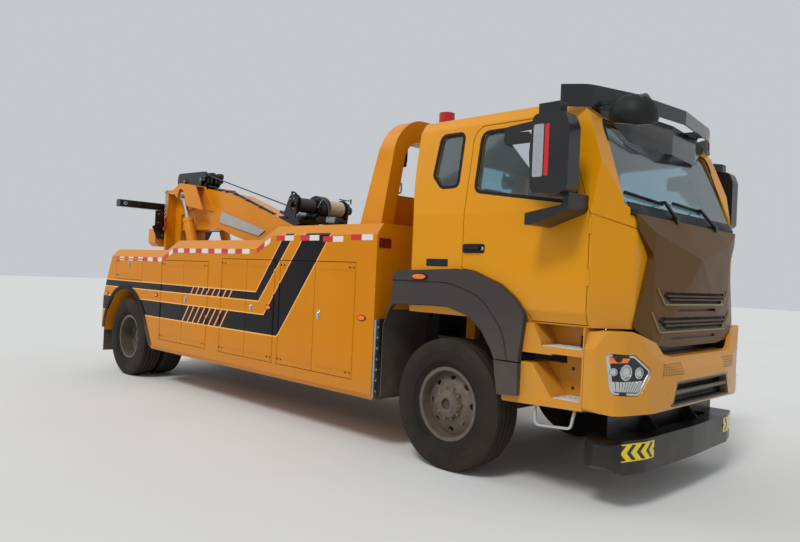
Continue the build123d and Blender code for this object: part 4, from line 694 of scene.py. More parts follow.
rear_x = 0.5 * (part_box("rear_tyres_right")[0][0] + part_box("rear_tyres_right")[1][0])
front_wheel_y = 0.5 * (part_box("front_tyre_left")[0][1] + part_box("front_tyre_left")[1][1])
rear_near_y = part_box("rear_tyres_left")[0][1] + tyre_half
rear_far_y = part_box("rear_tyres_left")[1][1] - tyre_half
for side, word in side_names:
    front_form = bmesh.new()
    tyre_ring(front_form, axle_x, side * front_wheel_y)
    front_tyre = add_piece(
        "tread_tyre_front_" + word, front_form, tyre_material(axle_x), "front_wheel_" + word,
        smooth=38
    )
    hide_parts("front_tyre_" + word)
    rear_form = bmesh.new()
    for middle in (rear_near_y, rear_far_y):
        tyre_ring(rear_form, rear_x, side * middle)
    rear_tyre = add_piece(
        "tread_tyres_rear_" + word, rear_form, tyre_material(rear_x), "rear_wheels_" + word,
        smooth=38
    )
    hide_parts("rear_tyres_" + word)

# Wheels: pressed steel discs in grey paint on welded rims, held by ten studs each.
# The front nuts are brassy and stand round a hub cap with its own small screws.
# Grey wheel enamel, browned by brake dust that lies thicker in patches
wheel_paint = finish(
    "grey_wheel_enamel", "#675E54", 0.5, metallic=0.15, mottle=0.3, patch=0.07, grain=0.00015
)
dusty(wheel_paint, 0.2, 1.0, 0.5, code="#54483C")
nut_brass = finish("brassy_zinc_plate", "#8F7A4C", 0.4, metallic=0.8, mottle=0.25, patch=0.03)
hub_iron = finish("oiled_hub_iron", "#5A5B58", 0.5, metallic=0.6, mottle=0.2, patch=0.05)
paint_node(wheel_paint, "front_rim_left", "front_rim_right", "rear_rims_left", "rear_rims_right")


def geometry_tree(name, values):
    # A Geometry Nodes tree with a socket for each value, whole numbers as integers
    tree = bpy.data.node_groups.new(name + "_tree", "GeometryNodeTree")
    tree.interface.new_socket("Geometry", in_out="INPUT", socket_type="NodeSocketGeometry")
    for label, value in values.items():
        kind = "NodeSocketInt" if isinstance(value, int) else "NodeSocketFloat"
        tree.interface.new_socket(label, in_out="INPUT", socket_type=kind)
    tree.interface.new_socket("Geometry", in_out="OUTPUT", socket_type="NodeSocketGeometry")
    return tree, add_node(tree, "NodeGroupInput").outputs


def evaluated_mesh(owner):
    # The mesh that an object's modifiers give. The modifiers come off it.
    depsgraph = bpy.context.evaluated_depsgraph_get()
    mesh = bpy.data.meshes.new_from_object(owner.evaluated_get(depsgraph))
    owner.modifiers.clear()
    return mesh


def grown_mesh(tree, values, placed, material):
    # Ends a tree at its placed instances, sets its inputs by identifier, and runs it
    real = add_node(tree, "GeometryNodeRealizeInstances", inputs={0: placed}).outputs[0]
    set_finish = add_node(tree, "GeometryNodeSetMaterial", inputs={0: real, "Material": material})
    add_node(tree, "NodeGroupOutput", inputs={0: set_finish.outputs[0]})
    carrier = bpy.data.objects.new(tree.name, bpy.data.meshes.new(tree.name))
    bpy.context.collection.objects.link(carrier)
    modifier = carrier.modifiers.new("instances", "NODES")
    modifier.node_group = tree
    for socket in tree.interface.items_tree:
        if socket.name in values:
            modifier[socket.identifier] = values[socket.name]
    mesh = evaluated_mesh(carrier)
    bpy.data.objects.remove(carrier)
    return mesh


def ride_mesh(name, mesh, body):
    # Makes an object of a finished mesh, riding on a body
    piece = bpy.data.objects.new(name, mesh)
    bpy.context.collection.objects.link(piece)
    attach(piece, body)


def ring_of_nuts(name, middle, side, count, circle_radius, nut_radius, nut_length, material, body):
    # Geometry Nodes: one hexagonal nut and its stud on each point of a circle
    values = {
        "Count": count, "Circle Radius": circle_radius, "Nut Radius": nut_radius,
        "Nut Length": nut_length
    }
    tree, given = geometry_tree(name, values)
    circle = add_node(
        tree, "GeometryNodeMeshCircle",
        inputs={"Vertices": given["Count"], "Radius": given["Circle Radius"]}
    ).outputs["Mesh"]
    nut = add_node(
        tree, "GeometryNodeMeshCylinder",
        inputs={"Vertices": 6, "Radius": given["Nut Radius"], "Depth": given["Nut Length"]}
    ).outputs["Mesh"]
    thin = calculate(tree, "MULTIPLY", given["Nut Radius"], 0.55)
    long = calculate(tree, "MULTIPLY", given["Nut Length"], 1.7)
    stud = add_node(
        tree, "GeometryNodeMeshCylinder", inputs={"Vertices": 10, "Radius": thin, "Depth": long}
    ).outputs["Mesh"]
    both = add_node(tree, "GeometryNodeJoinGeometry", inputs={0: nut})
    tree.links.new(stud, both.inputs[0])
    placed = add_node(
        tree, "GeometryNodeInstanceOnPoints", inputs={"Points": circle, "Instance": both.outputs[0]}
    ).outputs[0]
    mesh = grown_mesh(tree, values, placed, material)
    mesh.transform(Matrix.Translation(middle) @ Matrix.Rotation(-side * math.pi / 2, 4, "X"))
    ride_mesh(name, mesh, body)


disc_bulge = 0.060
rear_disc_y = rear_far_y - 0.165
for side, word in side_names:
    front_face = side * (front_wheel_y + disc_bulge)
    middle = Vector((axle_x, front_face + side * 0.012, tyre_radius))
    ring_of_nuts(
        "front_nuts_" + word, middle, side, 10, 0.118, 0.017, 0.028, nut_brass, "front_wheel_" + word
    )
    middle = Vector((axle_x, front_face + side * 0.047, tyre_radius))
    ring_of_nuts(
        "front_cap_screws_" + word, middle, side, 8, 0.082, 0.007, 0.010, hub_iron, "front_wheel_" + word
    )
    middle = Vector((rear_x, side * (rear_disc_y + 0.028), tyre_radius))
    ring_of_nuts(
        "rear_nuts_" + word, middle, side, 10, 0.168, 0.018, 0.034, nut_brass, "rear_wheels_" + word
    )
    middle = Vector((rear_x, side * (rear_disc_y + 0.128), tyre_radius))
    ring_of_nuts(
        "rear_hub_screws_" + word, middle, side, 8, 0.105, 0.008, 0.014, hub_iron, "rear_wheels_" + word
    )


# Cab: pressed steel shell and doors in yellow truck paint, with black rubber seals set
# round every window opening and a dusting of road dirt along the sill.
# Gloss cab paint over a faint orange peel
cab_paint = finish(
    "yellow_cab_paint", "#D48D0A", 0.24, mottle=0.03, patch=0.8, grain=0.00004, grain_size=0.006,
    coat=0.08, shine=0.2
)
dusty(cab_paint, 1.15, 1.6, 0.22)
paint_node(cab_paint, "cab_shell", "cab_door_left", "cab_door_right")


def ahead(corners):
    # Corners whose stations count from the front axle, in the shared frame
    return [(axle_x + corner[0], *corner[1:]) for corner in corners]


def rounded(corners, steps=6):
    # An outline whose corners (a, b, radius) are rounded by short arcs, in metres
    points = []
    count = len(corners)
    for place, (a, b, radius) in enumerate(corners):
        here = Vector((a, b))
        before = Vector(corners[place - 1][:2]) - here
        after = Vector(corners[(place + 1) % count][:2]) - here
        half_angle = before.angle(after) / 2
        reach = min(radius / math.tan(half_angle), before.length * 0.48, after.length * 0.48)
        start = here + before.normalized() * reach
        end = here + after.normalized() * reach
        for step in range(steps + 1):
            t = step / steps
            points.append(tuple((1 - t) ** 2 * start + 2 * t * (1 - t) * here + t ** 2 * end))
    return points


def rounded_box(a_low, a_high, b_low, b_high, radius, steps):
    # A rectangle with rounded corners
    corners = ((a_low, b_low), (a_high, b_low), (a_high, b_high), (a_low, b_high))
    return rounded([(a, b, radius) for a, b in corners], steps)


def grown(outline, amount):
    # The outline moved outwards by an amount, corner by corner
    area = sum(a[0] * b[1] - b[0] * a[1] for a, b in zip(outline, outline[1:] + outline[:1]))
    turn = 1 if area > 0 else -1
    result = []
    for place, here in enumerate(outline):
        before = Vector(here) - Vector(outline[place - 1])
        after = Vector(outline[(place + 1) % len(outline)]) - Vector(here)
        along_edge = before.normalized() + after.normalized()
        if along_edge.length < 1e-6:
            along_edge = after
        along_edge.normalize()
        result.append((here[0] + along_edge.y * turn * amount, here[1] - along_edge.x * turn * amount))
    return result


look_from = 3.0  # metres from the front axle or the middle, outside every surface


def surface_reader(names):
    # Makes a function that finds where a straight look along an axis meets some CAD nodes
    vertices = []
    faces = []
    for node_name in names:
        node = bpy.data.objects[node_name]
        base = len(vertices)
        vertices += [node.matrix_world @ vertex.co for vertex in node.data.vertices]
        faces += [[base + i for i in polygon.vertices] for polygon in node.data.polygons]
    tree = BVHTree.FromPolygons(vertices, faces)

    def read(origin, direction):
        hit = tree.ray_cast(Vector(origin), Vector(direction))
        return hit[0]
    return read


def front_placer(reader):
    # Makes a function that lays a point on what the reader sees from the front
    def place_at(y, z, lift=0.0):
        hit = reader((axle_x + look_from, y, z), (-1, 0, 0))
        return Vector((hit.x + lift, y, z))
    return place_at


def seal(form, outline, width, place_at, lift=0.004, sunk=0.006):
    # Adds a flat band round an outline, laid on a surface by place_at(a, b, lift)
    outer = grown(outline, width)
    inner = grown(outline, -0.003)
    rings = []
    for ring_outline, level in (
        (outer, -sunk), (outer, lift * 0.5), (grown(outline, width * 0.8), lift), (inner, lift),
        (inner, -sunk)
    ):
        rings.append([form.verts.new(place_at(a, b, level)) for a, b in ring_outline])
    join_rings(form, rings, around=True)


window_seals = {
    # corners of each opening as station from the front axle, height and corner radius
    "door": [
        (0.248, 2.235, 0.06), (0.252, 2.685, 0.06), (0.930, 2.690, 0.06), (1.120, 2.250, 0.05),
        (1.120, 2.110, 0.05)
    ],
    "quarter": [
        (-0.205, 2.385, 0.04), (-0.175, 2.705, 0.05), (0.050, 2.705, 0.05), (0.050, 2.285, 0.04),
        (-0.110, 2.285, 0.06)
    ],
}
# EPDM weather seal, matt black
seal_rubber = finish("black_window_seal", "#131313", 0.7, mottle=0.12, patch=0.2, grain=0.0002)
side_reader = surface_reader(["cab_shell", "cab_door_left", "cab_door_right"])
post_station = 0.207
window_head = 2.69
window_middle = 0.6
for side, word in side_names:
    for window, corners in window_seals.items():
        outline = rounded(ahead(corners))

        def on_side(a, b, level, side=side):
            # The cab's side has one profile all along: it is read beside the door window,
            # and above the window where the seal's top lies
            station = post_station if b < window_head else window_middle
            hit = side_reader((axle_x + station, side * look_from, b), (0, -side, 0))
            return (a, hit.y + side * level, b)

        seal_form = bmesh.new()
        seal(seal_form, outline, 0.022, on_side)
        body = "cab_door_" + word if window == "door" else "chassis"
        add_piece("seal_" + window + "_" + word, seal_form, seal_rubber, body, smooth=45)

windscreen_corners = [
    (-1.010, 2.082, 0.06), (1.010, 2.082, 0.06), (0.930, 2.715, 0.08), (-0.930, 2.715, 0.08)
]
front_reader = surface_reader(["cab_shell"])
windscreen_outline = rounded(windscreen_corners)


def on_front(a, b, level):
    # The cab front's surface just outside the windscreen's opening
    away = Vector((a, b - 2.4)).normalized() * 0.035
    hit = front_reader((axle_x + look_from, a + away.x, b + away.y), (-1, 0, 0))
    slope = 0.45
    return (hit.x + level - slope * -away.y, a, b)


seal_form = bmesh.new()
seal(seal_form, windscreen_outline, 0.026, on_front)
add_piece("seal_windscreen", seal_form, seal_rubber, "chassis", smooth=45)

# Door handles, in black moulded plastic with a bright lock barrel, in their dished
# recesses, and a small black plate on each side of the cab.
handle_place = (0.270, 1.775)
for side, word in side_names:
    here = side_reader((axle_x + handle_place[0], side * look_from, handle_place[1]), (0, -side, 0))
    base = bmesh.new()
    corners = rounded_box(axle_x + 0.165, axle_x + 0.378, 1.745, 1.815, 0.02, 4)
    prism(base, corners, 1, here.y - side * 0.004, here.y + side * 0.006)
    add_piece(
        "handle_base_" + word, base, black_plastic, "cab_door_" + word, bevel=0.002,
        smooth=40
    )
    grip = bmesh.new()
    corners = rounded_box(axle_x + 0.185, axle_x + 0.345, 1.768, 1.802, 0.015, 4)
    prism(grip, corners, 1, here.y + side * 0.018, here.y + side * 0.034)
    for station in (0.198, 0.332):
        place = axle_x + station
        y_near, y_far = sorted((here.y + side * 0.004, here.y + side * 0.02))
        box(grip, (place - 0.010, y_near, 1.774), (place + 0.010, y_far, 1.796))
    add_piece(
        "handle_grip_" + word, grip, black_plastic, "cab_door_" + word, bevel=0.003,
        smooth=40
    )
    lock = bmesh.new()
    turned(
        lock, [(0, 0.012), (0.004, 0.012), (0.006, 0.008)],
        (axle_x + 0.362, here.y + side * 0.006, 1.780), (0, side, 0)
    )
    add_piece("door_lock_" + word, lock, latch_chrome, "cab_door_" + word, smooth=40)
    plate = bmesh.new()
    here = side_reader((axle_x - 0.10, side * look_from, 1.66), (0, -side, 0))
    corners = rounded_box(axle_x - 0.215, axle_x + 0.015, 1.635, 1.695, 0.008, 3)
    prism(plate, corners, 1, here.y - side * 0.001, here.y + side * 0.0025)
    add_piece("bare_cab_plate_" + word, plate, black_plastic, "chassis", bevel=0.001)

# Window glass: clear tempered side glass and a laminated windscreen, in one glass with
# a slight green tint.
cab_glass = finish("tinted_cab_glass", "#B4D0DA", 0.03, mottle=0.02, patch=0.6)
glass_shader = cab_glass.node_tree.nodes["Principled BSDF"]
glass_shader.inputs["IOR"].default_value = 1.5
glass_shader.inputs["Transmission Weight"].default_value = 0.96
glass_shader.inputs["Specular IOR Level"].default_value = 0.5
paint_node(cab_glass, "cab_glass", "door_glass_left", "door_glass_right")

# Wipers: two black enamelled steel arms on pivots in the cowl, each with a long rubber
# blade that is parked low along the windscreen.
# Satin black enamel of the wiper arms
arm_black = finish("satin_black_enamel", "#141416", 0.4, mottle=0.08, patch=0.1, coat=0.2)
glass_reader = surface_reader(["cab_glass"])


def on_glass(y, z, lift):
    # A point just in front of the windscreen, or of the cab where there is no glass
    hit = glass_reader((axle_x + look_from, y, z), (-1, 0, 0))
    if hit is None or hit.x < axle_x + 0.9:
        hit = front_reader((axle_x + look_from, y, z), (-1, 0, 0))
    return Vector((hit.x + lift, y, z))


wipers = [
    # pivot across and up, arm end, blade's ends
    ((-0.30, 2.045), (-0.42, 2.172), (-0.96, 2.185), (-0.38, 2.160)),
    ((0.46, 2.045), (0.25, 2.177), (-0.17, 2.190), (0.40, 2.172)),
]
arms = bmesh.new()
blades = bmesh.new()
for pivot, elbow, outer_end, inner_end in wipers:
    pivot_point = on_glass(*pivot, 0.03)
    elbow_point = on_glass(*elbow, 0.055)
    rod(arms, pivot_point - Vector((0.05, 0, 0)), pivot_point + Vector((0.02, 0, 0)), 0.028)
    rod(arms, pivot_point + Vector((0.012, 0, 0)), elbow_point, 0.013, 8)
    rod(arms, elbow_point, on_glass(elbow[0], elbow[1], 0.02), 0.008, 8)
    steps = 8
    for step in range(steps):
        ends = []
        for t in (step / steps, (step + 1) / steps):
            y = outer_end[0] + (inner_end[0] - outer_end[0]) * t
            z = outer_end[1] + (inner_end[1] - outer_end[1]) * t
            ends.append(on_glass(y, z, 0.016))
        rod(blades, ends[0], ends[1], 0.012, 6)
add_piece("wiper_arms", arms, arm_black, "chassis", smooth=40)
add_piece("wiper_blades", blades, seal_rubber, "chassis", smooth=40)


# Front panel: moulded panel in bronze-brown metallic gloss, its two framed air slots
# backed by black mesh behind thin level bars, with gloss ears and a bright trim line at
# each slot. The badge place stays bare.
panel_paint = finish(
    "bronze_brown_panel", "#5E3F17", 0.36, metallic=0.3, mottle=0.05, grain=0.00003, coat=0.05,
    shine=0.12
)
paint_node(panel_paint, "front_panel")
panel_front_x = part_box("front_panel")[1][0]
slot_mesh_x = panel_front_x - 0.052
air_slots = [
    # upper half width and height, lower half width and height
    (0.575, 1.512, 0.478, 1.436),
    (0.635, 1.332, 0.531, 1.247),
]


def mesh_screen(name, half_width, low, high, station, cell, wire, material, body):
    # Geometry Nodes: a screen of upright and level wires, instanced on two lines
    values = {"Half Width": half_width, "Height": high - low, "Cell": cell, "Wire": wire}
    tree, given = geometry_tree(name, values)
    width = calculate(tree, "MULTIPLY", given["Half Width"], 2.0)
    spans = (width, given["Height"])
    made = []
    for place, span in enumerate(spans):
        cells = calculate(tree, "FLOOR", calculate(tree, "DIVIDE", span, given["Cell"]))
        count = calculate(tree, "ADD", cells, 1.0)
        sides = {1 - place: spans[1 - place], place: given["Wire"], 2: given["Wire"]}
        size = add_node(tree, "ShaderNodeCombineXYZ", inputs=sides).outputs[0]
        bar = add_node(tree, "GeometryNodeMeshCube", inputs={"Size": size}).outputs["Mesh"]
        half_back = calculate(tree, "MULTIPLY", calculate(tree, "MULTIPLY", span, 0.5), -1.0)
        start = add_node(tree, "ShaderNodeCombineXYZ", inputs={place: half_back}).outputs[0]
        gap = calculate(tree, "DIVIDE", span, calculate(tree, "SUBTRACT", count, 1.0))
        step = add_node(tree, "ShaderNodeCombineXYZ", inputs={place: gap}).outputs[0]
        line = add_node(
            tree, "GeometryNodeMeshLine",
            inputs={"Count": count, "Start Location": start, "Offset": step}
        ).outputs["Mesh"]
        made.append(
            add_node(
                tree, "GeometryNodeInstanceOnPoints", inputs={"Points": line, "Instance": bar}
            ).outputs[0]
        )
    both = add_node(tree, "GeometryNodeJoinGeometry", inputs={0: made[0]})
    tree.links.new(made[1], both.inputs[0])
    mesh = grown_mesh(tree, values, both.outputs[0], material)
    turn = Matrix(((0, 0, 1, station), (1, 0, 0, 0), (0, 1, 0, (low + high) / 2), (0, 0, 0, 1)))
    mesh.transform(turn)
    ride_mesh(name, mesh, body)


for place, (high_half, high, low_half, low) in enumerate(air_slots):
    backing = bmesh.new()
    prism(
        backing, [(-low_half, low), (low_half, low), (high_half, high), (-high_half, high)], 0,
        slot_mesh_x - 0.006, slot_mesh_x
    )
    add_piece("slot_backing_%d" % (place + 1), backing, black_plastic, "chassis")
    mesh_screen(
        "slot_mesh_%d" % (place + 1), low_half, low, high, slot_mesh_x + 0.004, 0.021, 0.0035, arm_black,
        "chassis"
    )
    bars = bmesh.new()
    for part in (0.33, 0.66):
        level = low + (high - low) * part
        half = low_half + (high_half - low_half) * part
        box(bars, (slot_mesh_x - 0.002, -half, level - 0.006), (slot_mesh_x + 0.030, half, level + 0.006))
    add_piece(
        "slot_bars_%d" % (place + 1), bars, panel_paint, "chassis", bevel=0.003, smooth=40
    )
on_panel = front_placer(surface_reader(["front_panel"]))


def bent_rod(form, path, radius, steps=10):
    # Adds one closed round bar that follows a list of points
    points = [Vector(point) for point in path]
    rings = []
    sideways = None
    for i, point in enumerate(points):
        before = points[max(i - 1, 0)]
        after = points[min(i + 1, len(points) - 1)]
        run = (after - before).normalized()
        if sideways is None:
            sideways = run.orthogonal().normalized()
        sideways = (sideways - run * sideways.dot(run)).normalized()
        across_bar = run.cross(sideways)
        ring = []
        for step in range(steps):
            angle = 2 * math.pi * step / steps
            offset = sideways * math.cos(angle) + across_bar * math.sin(angle)
            ring.append(form.verts.new(point + offset * radius))
        rings.append(ring)
    join_rings(form, rings)
    cap_rings(form, rings)


def curved(points, per_piece=6):
    # Points of a smooth path through the given points
    given = [Vector(point) for point in points]
    padded_ends = [2 * given[0] - given[1]] + given + [2 * given[-1] - given[-2]]
    path = []
    for i in range(1, len(padded_ends) - 2):
        a, b, c, d = padded_ends[i - 1:i + 3]
        for step in range(per_piece):
            t = step / per_piece
            first = (c - a) * t
            second = (2 * a - 5 * b + 4 * c - d) * t * t
            third = (3 * b - 3 * c + d - a) * t ** 3
            path.append(0.5 * (2 * b + first + second + third))
    return path + [given[-1]]


# Champagne trim, a bright metallic plastic plating, and gloss black ears beside the slots
trim_plating = finish("champagne_trim", "#927A4C", 0.3, metallic=0.6, patch=0.1)
ear_black = finish("gloss_black_ear", "#15130F", 0.25, patch=0.1, coat=0.3)
trim_lines = [
    # outer end of the ear, its foot, each as half width and height
    ((0.672, 1.540), (0.560, 1.424)),
    ((0.735, 1.372), (0.622, 1.228)),
]
for place, ((ear_half, ear_top), (foot_half, foot_top)) in enumerate(trim_lines):
    high_half, high, low_half, low = air_slots[place]
    trim = bmesh.new()
    ears = bmesh.new()
    path = []
    for side in (-1, 1):
        slant = [
            (side * (ear_half + (foot_half - ear_half) * t / 6), ear_top + (foot_top - ear_top) * t / 6)
            for t in range(7)
        ]
        path += slant if side < 0 else list(reversed(slant))
        if side < 0:
            path += [(-foot_half + 2 * foot_half * t / 24, foot_top) for t in range(1, 24)]
        inner_line = [
            (side * (high_half + 0.008), high + 0.004), (side * (low_half + 0.008), low - 0.006)
        ]
        outer_line = [
            (side * (ear_half - 0.006), ear_top - 0.004), (side * (foot_half - 0.006), foot_top + 0.006)
        ]
        rows = []
        for line in (inner_line, outer_line):
            (a0, b0), (a1, b1) = line
            rows.append([(a0 + (a1 - a0) * t / 5, b0 + (b1 - b0) * t / 5) for t in range(6)])
        low_ring = [
            [ears.verts.new(on_panel(a, b, level)) for a, b in row]
            for level in (-0.002, 0.003)
            for row in rows
        ]
        for t in range(5):
            for one, other in (
                (low_ring[0], low_ring[1]), (low_ring[3], low_ring[2]), (low_ring[1], low_ring[3]),
                (low_ring[2], low_ring[0])
            ):
                ears.faces.new((one[t], one[t + 1], other[t + 1], other[t]))
        for t in (0, 5):
            ears.faces.new((low_ring[0][t], low_ring[1][t], low_ring[3][t], low_ring[2][t]))
    bent_rod(trim, [on_panel(a, b, 0.001) for a, b in path], 0.0085, 8)
    add_piece("slot_trim_%d" % (place + 1), trim, trim_plating, "chassis", smooth=50)
    add_piece("slot_ears_%d" % (place + 1), ears, ear_black, "chassis")

# Bumper: a wrapped steel shell in the cab's yellow, with two fields of small air holes, drawn as black
# discs of painted shade, and a taupe plastic frame round its air opening, whose bar is capped in the same
# plastic.
paint_node(cab_paint, "bumper")
# Near-black matt discs stand in for the air holes: painted shade where the holes open into the dark
hole_shade = finish("air_hole_shade", "#0C0C0C", 0.9, mottle=0.1, patch=0.05)
taupe_plastic = finish(
    "taupe_plastic", "#6B6155", 0.55, mottle=0.08, patch=0.2, grain=0.00015, grain_size=0.002
)
on_bumper = front_placer(surface_reader(["bumper"]))
hole_pitch_across = 0.032
hole_pitch_up = 0.0185
hole_radius = 0.0066


def hole_field(name, side, body):
    # Geometry Nodes: small black discs of painted shade for the air holes, on a grid of points, laid on
    # the bumper afterwards
    values = {"Pitch Across": hole_pitch_across, "Pitch Up": hole_pitch_up, "Radius": hole_radius}
    tree, given = geometry_tree(name, values)
    columns, rows = 9, 5
    width = calculate(tree, "MULTIPLY", given["Pitch Across"], columns - 1.0)
    height = calculate(tree, "MULTIPLY", given["Pitch Up"], rows - 1.0)
    grid = add_node(
        tree, "GeometryNodeMeshGrid",
        inputs={"Size X": width, "Size Y": height, "Vertices X": columns, "Vertices Y": rows}
    ).outputs["Mesh"]
    disc = add_node(
        tree, "GeometryNodeMeshCylinder",
        inputs={"Vertices": 8, "Radius": given["Radius"], "Depth": 0.003}
    ).outputs["Mesh"]
    placed = add_node(
        tree, "GeometryNodeInstanceOnPoints", inputs={"Points": grid, "Instance": disc}
    ).outputs[0]
    mesh = grown_mesh(tree, values, placed, hole_shade)
    for vertex in mesh.vertices:
        across, up, proud = vertex.co
        y = side * (0.532 + across)
        z = 0.972 + up
        vertex.co = on_bumper(y, z, 0.0005 if proud > 0 else -0.002)
    form = bmesh.new()
    form.from_mesh(mesh)
    add_piece(name, form, hole_shade, body)


for side, word in side_names:
    hole_field("bumper_holes_" + word, side, "chassis")


def ring_prism(form, outer, inner, axis, low, high):
    # Adds a closed ring with an outer and an inner outline, from low to high on an axis
    others = [i for i in range(3) if i != axis]
    rings = []
    for outline, level in ((outer, low), (outer, high), (inner, high), (inner, low)):
        ring = []
        for corner in outline:
            place = [0.0, 0.0, 0.0]
            place[axis] = level
            place[others[0]], place[others[1]] = corner
            ring.append(form.verts.new(place))
        rings.append(ring)
    join_rings(form, rings, around=True)


air_opening = rounded(
    [(0.473, 0.876, 0.02), (0.544, 0.703, 0.02), (-0.544, 0.703, 0.02), (-0.473, 0.876, 0.02)], 4
)
bumper_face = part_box("bumper")[1][0]
frame_form = bmesh.new()
ring_prism(
    frame_form, grown(air_opening, -0.0005), grown(air_opening, -0.012), 0, bumper_face - 0.075,
    bumper_face - 0.012
)
box(frame_form, (bumper_face - 0.045, -0.51, 0.789), (bumper_face - 0.016, 0.51, 0.815))
add_piece("air_frame", frame_form, taupe_plastic, "chassis", bevel=0.002, smooth=40)
backing = bmesh.new()
prism(backing, grown(air_opening, -0.001), 0, bumper_face - 0.085, bumper_face - 0.078)
add_piece("air_backing", backing, black_plastic, "chassis")
mesh_screen(
    "air_mesh", 0.47, 0.712, 0.868, bumper_face - 0.072, 0.024, 0.004, arm_black, "chassis",
)

# Headlamps: black housings with a bright frame, one big and two small projector lenses, an
# orange indicator across the upper outer corner and a bright fluted reflector below.
lamp_silver = finish("lamp_reflector_silver", "#C7CACD", 0.16, metallic=1.0, mottle=0.05, patch=0.03)
lens_clear = finish("lamp_lens_clear", "#DFE6EA", 0.04, mottle=0.02, patch=0.1, coat=1.0)
lens_shader = lens_clear.node_tree.nodes["Principled BSDF"]
lens_shader.inputs["Transmission Weight"].default_value = 0.55
on_lamp = front_placer(surface_reader(["lamps"]))


def lamp_facing(y, z):
    # Which way the lamp's face looks at a point
    middle = on_lamp(y, z)
    beside = on_lamp(y + 0.01, z) - middle
    above = on_lamp(y, z + 0.01) - middle
    facing = beside.cross(above).normalized()
    return facing if facing.x > 0 else -facing


def pad(form, outline, place_at, lift, sunk=0.002, inset=0.003):
    # Adds a thin closed pad on a surface, its top a little smaller than its foot
    rings = [
        [form.verts.new(place_at(a, b, -sunk)) for a, b in outline],
        [form.verts.new(place_at(a, b, lift)) for a, b in grown(outline, -inset)],
    ]
    join_rings(form, rings)
    cap_rings(form, rings)


lamp_corners = [
    (1.154, 1.094, 0.025), (0.960, 1.083, 0.060), (0.798, 0.971, 0.040), (0.909, 0.804, 0.050),
    (1.129, 0.817, 0.040)
]
indicator_corners = [
    (1.138, 1.070, 0.01), (1.000, 1.064, 0.02), (1.030, 1.030, 0.01), (1.134, 1.026, 0.01)
]
reflector_top = ((1.126, 0.908), (0.850, 0.906))
reflector_foot = ((1.112, 0.842), (0.918, 0.830))
projectors = [
    # across, up, radius
    (1.030, 0.968, 0.054),
    (0.915, 0.962, 0.040),
    (1.112, 0.972, 0.028),
]
for side, word in side_names:
    outline = grown(rounded([(side * a, b, radius) for a, b, radius in lamp_corners], 4), -0.016)
    frame_form = bmesh.new()
    seal(frame_form, outline, 0.013, on_lamp, lift=0.005, sunk=0.003)
    add_piece("headlamp_frame_" + word, frame_form, lamp_silver, "chassis", smooth=40)
    rings_form = bmesh.new()
    lenses_form = bmesh.new()
    for across, up, radius in projectors:
        facing = lamp_facing(side * across, up)
        middle = on_lamp(side * across, up) - facing * 0.004
        profile = [
            (0, radius), (0.010, radius), (0.012, radius * 0.94), (0.012, radius * 0.80),
            (0.0045, radius * 0.74)
        ]
        turned(rings_form, profile, middle, facing, 28)
        dome = [(0.0, radius * 0.74)]
        dome += [
            (0.004 + radius * 0.16 * math.sin(t), radius * 0.72 * math.cos(t))
            for t in (0.0, 0.35, 0.7, 1.05, 1.4)
        ]
        turned(lenses_form, dome, middle + facing * 0.001, facing, 28)
    add_piece("headlamp_rings_" + word, rings_form, lamp_silver, "chassis", smooth=40)
    add_piece("headlamp_lenses_" + word, lenses_form, lens_clear, "chassis", smooth=50)
    indicator = bmesh.new()
    pad(
        indicator, rounded([(side * a, b, radius) for a, b, radius in indicator_corners], 3), on_lamp,
        0.012
    )
    add_piece("headlamp_indicator_" + word, indicator, orange_lens, "chassis", smooth=40)
    reflector = bmesh.new()
    flutes = 11
    for flute in range(flutes):
        t_low, t_high = flute / flutes, (flute + 0.82) / flutes
        strip = []
        for row, t in (
            (reflector_top, t_low), (reflector_top, t_high), (reflector_foot, t_high),
            (reflector_foot, t_low)
        ):
            start, end = row
            strip.append(
                (side * (start[0] + (end[0] - start[0]) * t), start[1] + (end[1] - start[1]) * t)
            )
        pad(reflector, strip, on_lamp, 0.0045, inset=0.001)
    add_piece("headlamp_reflector_" + word, reflector, lamp_silver, "chassis", smooth=20)

# Under-run bar: rolled steel in semi-gloss black, with a stuck plate at each end that
# shows black chevrons on yellow, all pointing outwards.
bar_black = finish(
    "semi_gloss_black", "#0F0E0E", 0.36, patch=0.4, grain=0.00006, grain_size=0.004, coat=0.1
)
dusty(bar_black, 0.2, 0.6, 0.12)
paint_node(bar_black, "under_bar")
# Yellow reflective plate with black chevrons 95 mm apart, as an object-space pattern
chevron_yellow = finish("yellow_reflective_plate", "#E2C414", 0.3, mottle=0.05, patch=0.02, coat=0.4)
tree, shader, colour = base_colour(chevron_yellow)
parted = add_node(
    tree, "ShaderNodeSeparateXYZ", inputs={0: add_node(tree, "ShaderNodeTexCoord").outputs["Object"]}
)
away = calculate(tree, "ABSOLUTE", parted.outputs[1])
plate_middle_z = 0.420
off_middle = calculate(tree, "ABSOLUTE", calculate(tree, "SUBTRACT", parted.outputs[2], plate_middle_z))
chevron_pitch = 0.095
chevron_count = calculate(tree, "MULTIPLY", calculate(tree, "ADD", away, off_middle), 1 / chevron_pitch)
black_part = calculate(
    tree, "LESS_THAN", calculate(tree, "FRACT", calculate(tree, "ADD", chevron_count, 0.35)), 0.42
)
inside = calculate(tree, "LESS_THAN", off_middle, 0.052)
tree.links.new(
    layer(tree, calculate(tree, "MULTIPLY", black_part, inside), colour, from_hex("#151310")),
    shader.inputs["Base Color"]
)
on_bar = front_placer(surface_reader(["under_bar"]))


def laid_strip(form, low_row, high_row, place_at, lift, sunk):
    # Adds a closed strip between two rows of points, laid on a surface by place_at
    outline = list(low_row) + list(reversed(high_row))
    rings = [[form.verts.new(place_at(a, b, level)) for a, b in outline] for level in (-sunk, lift)]
    last = len(outline) - 1
    for ring in rings:
        for step in range(len(low_row) - 1):
            form.faces.new((ring[step], ring[step + 1], ring[last - step - 1], ring[last - step]))
    join_rings(form, rings)


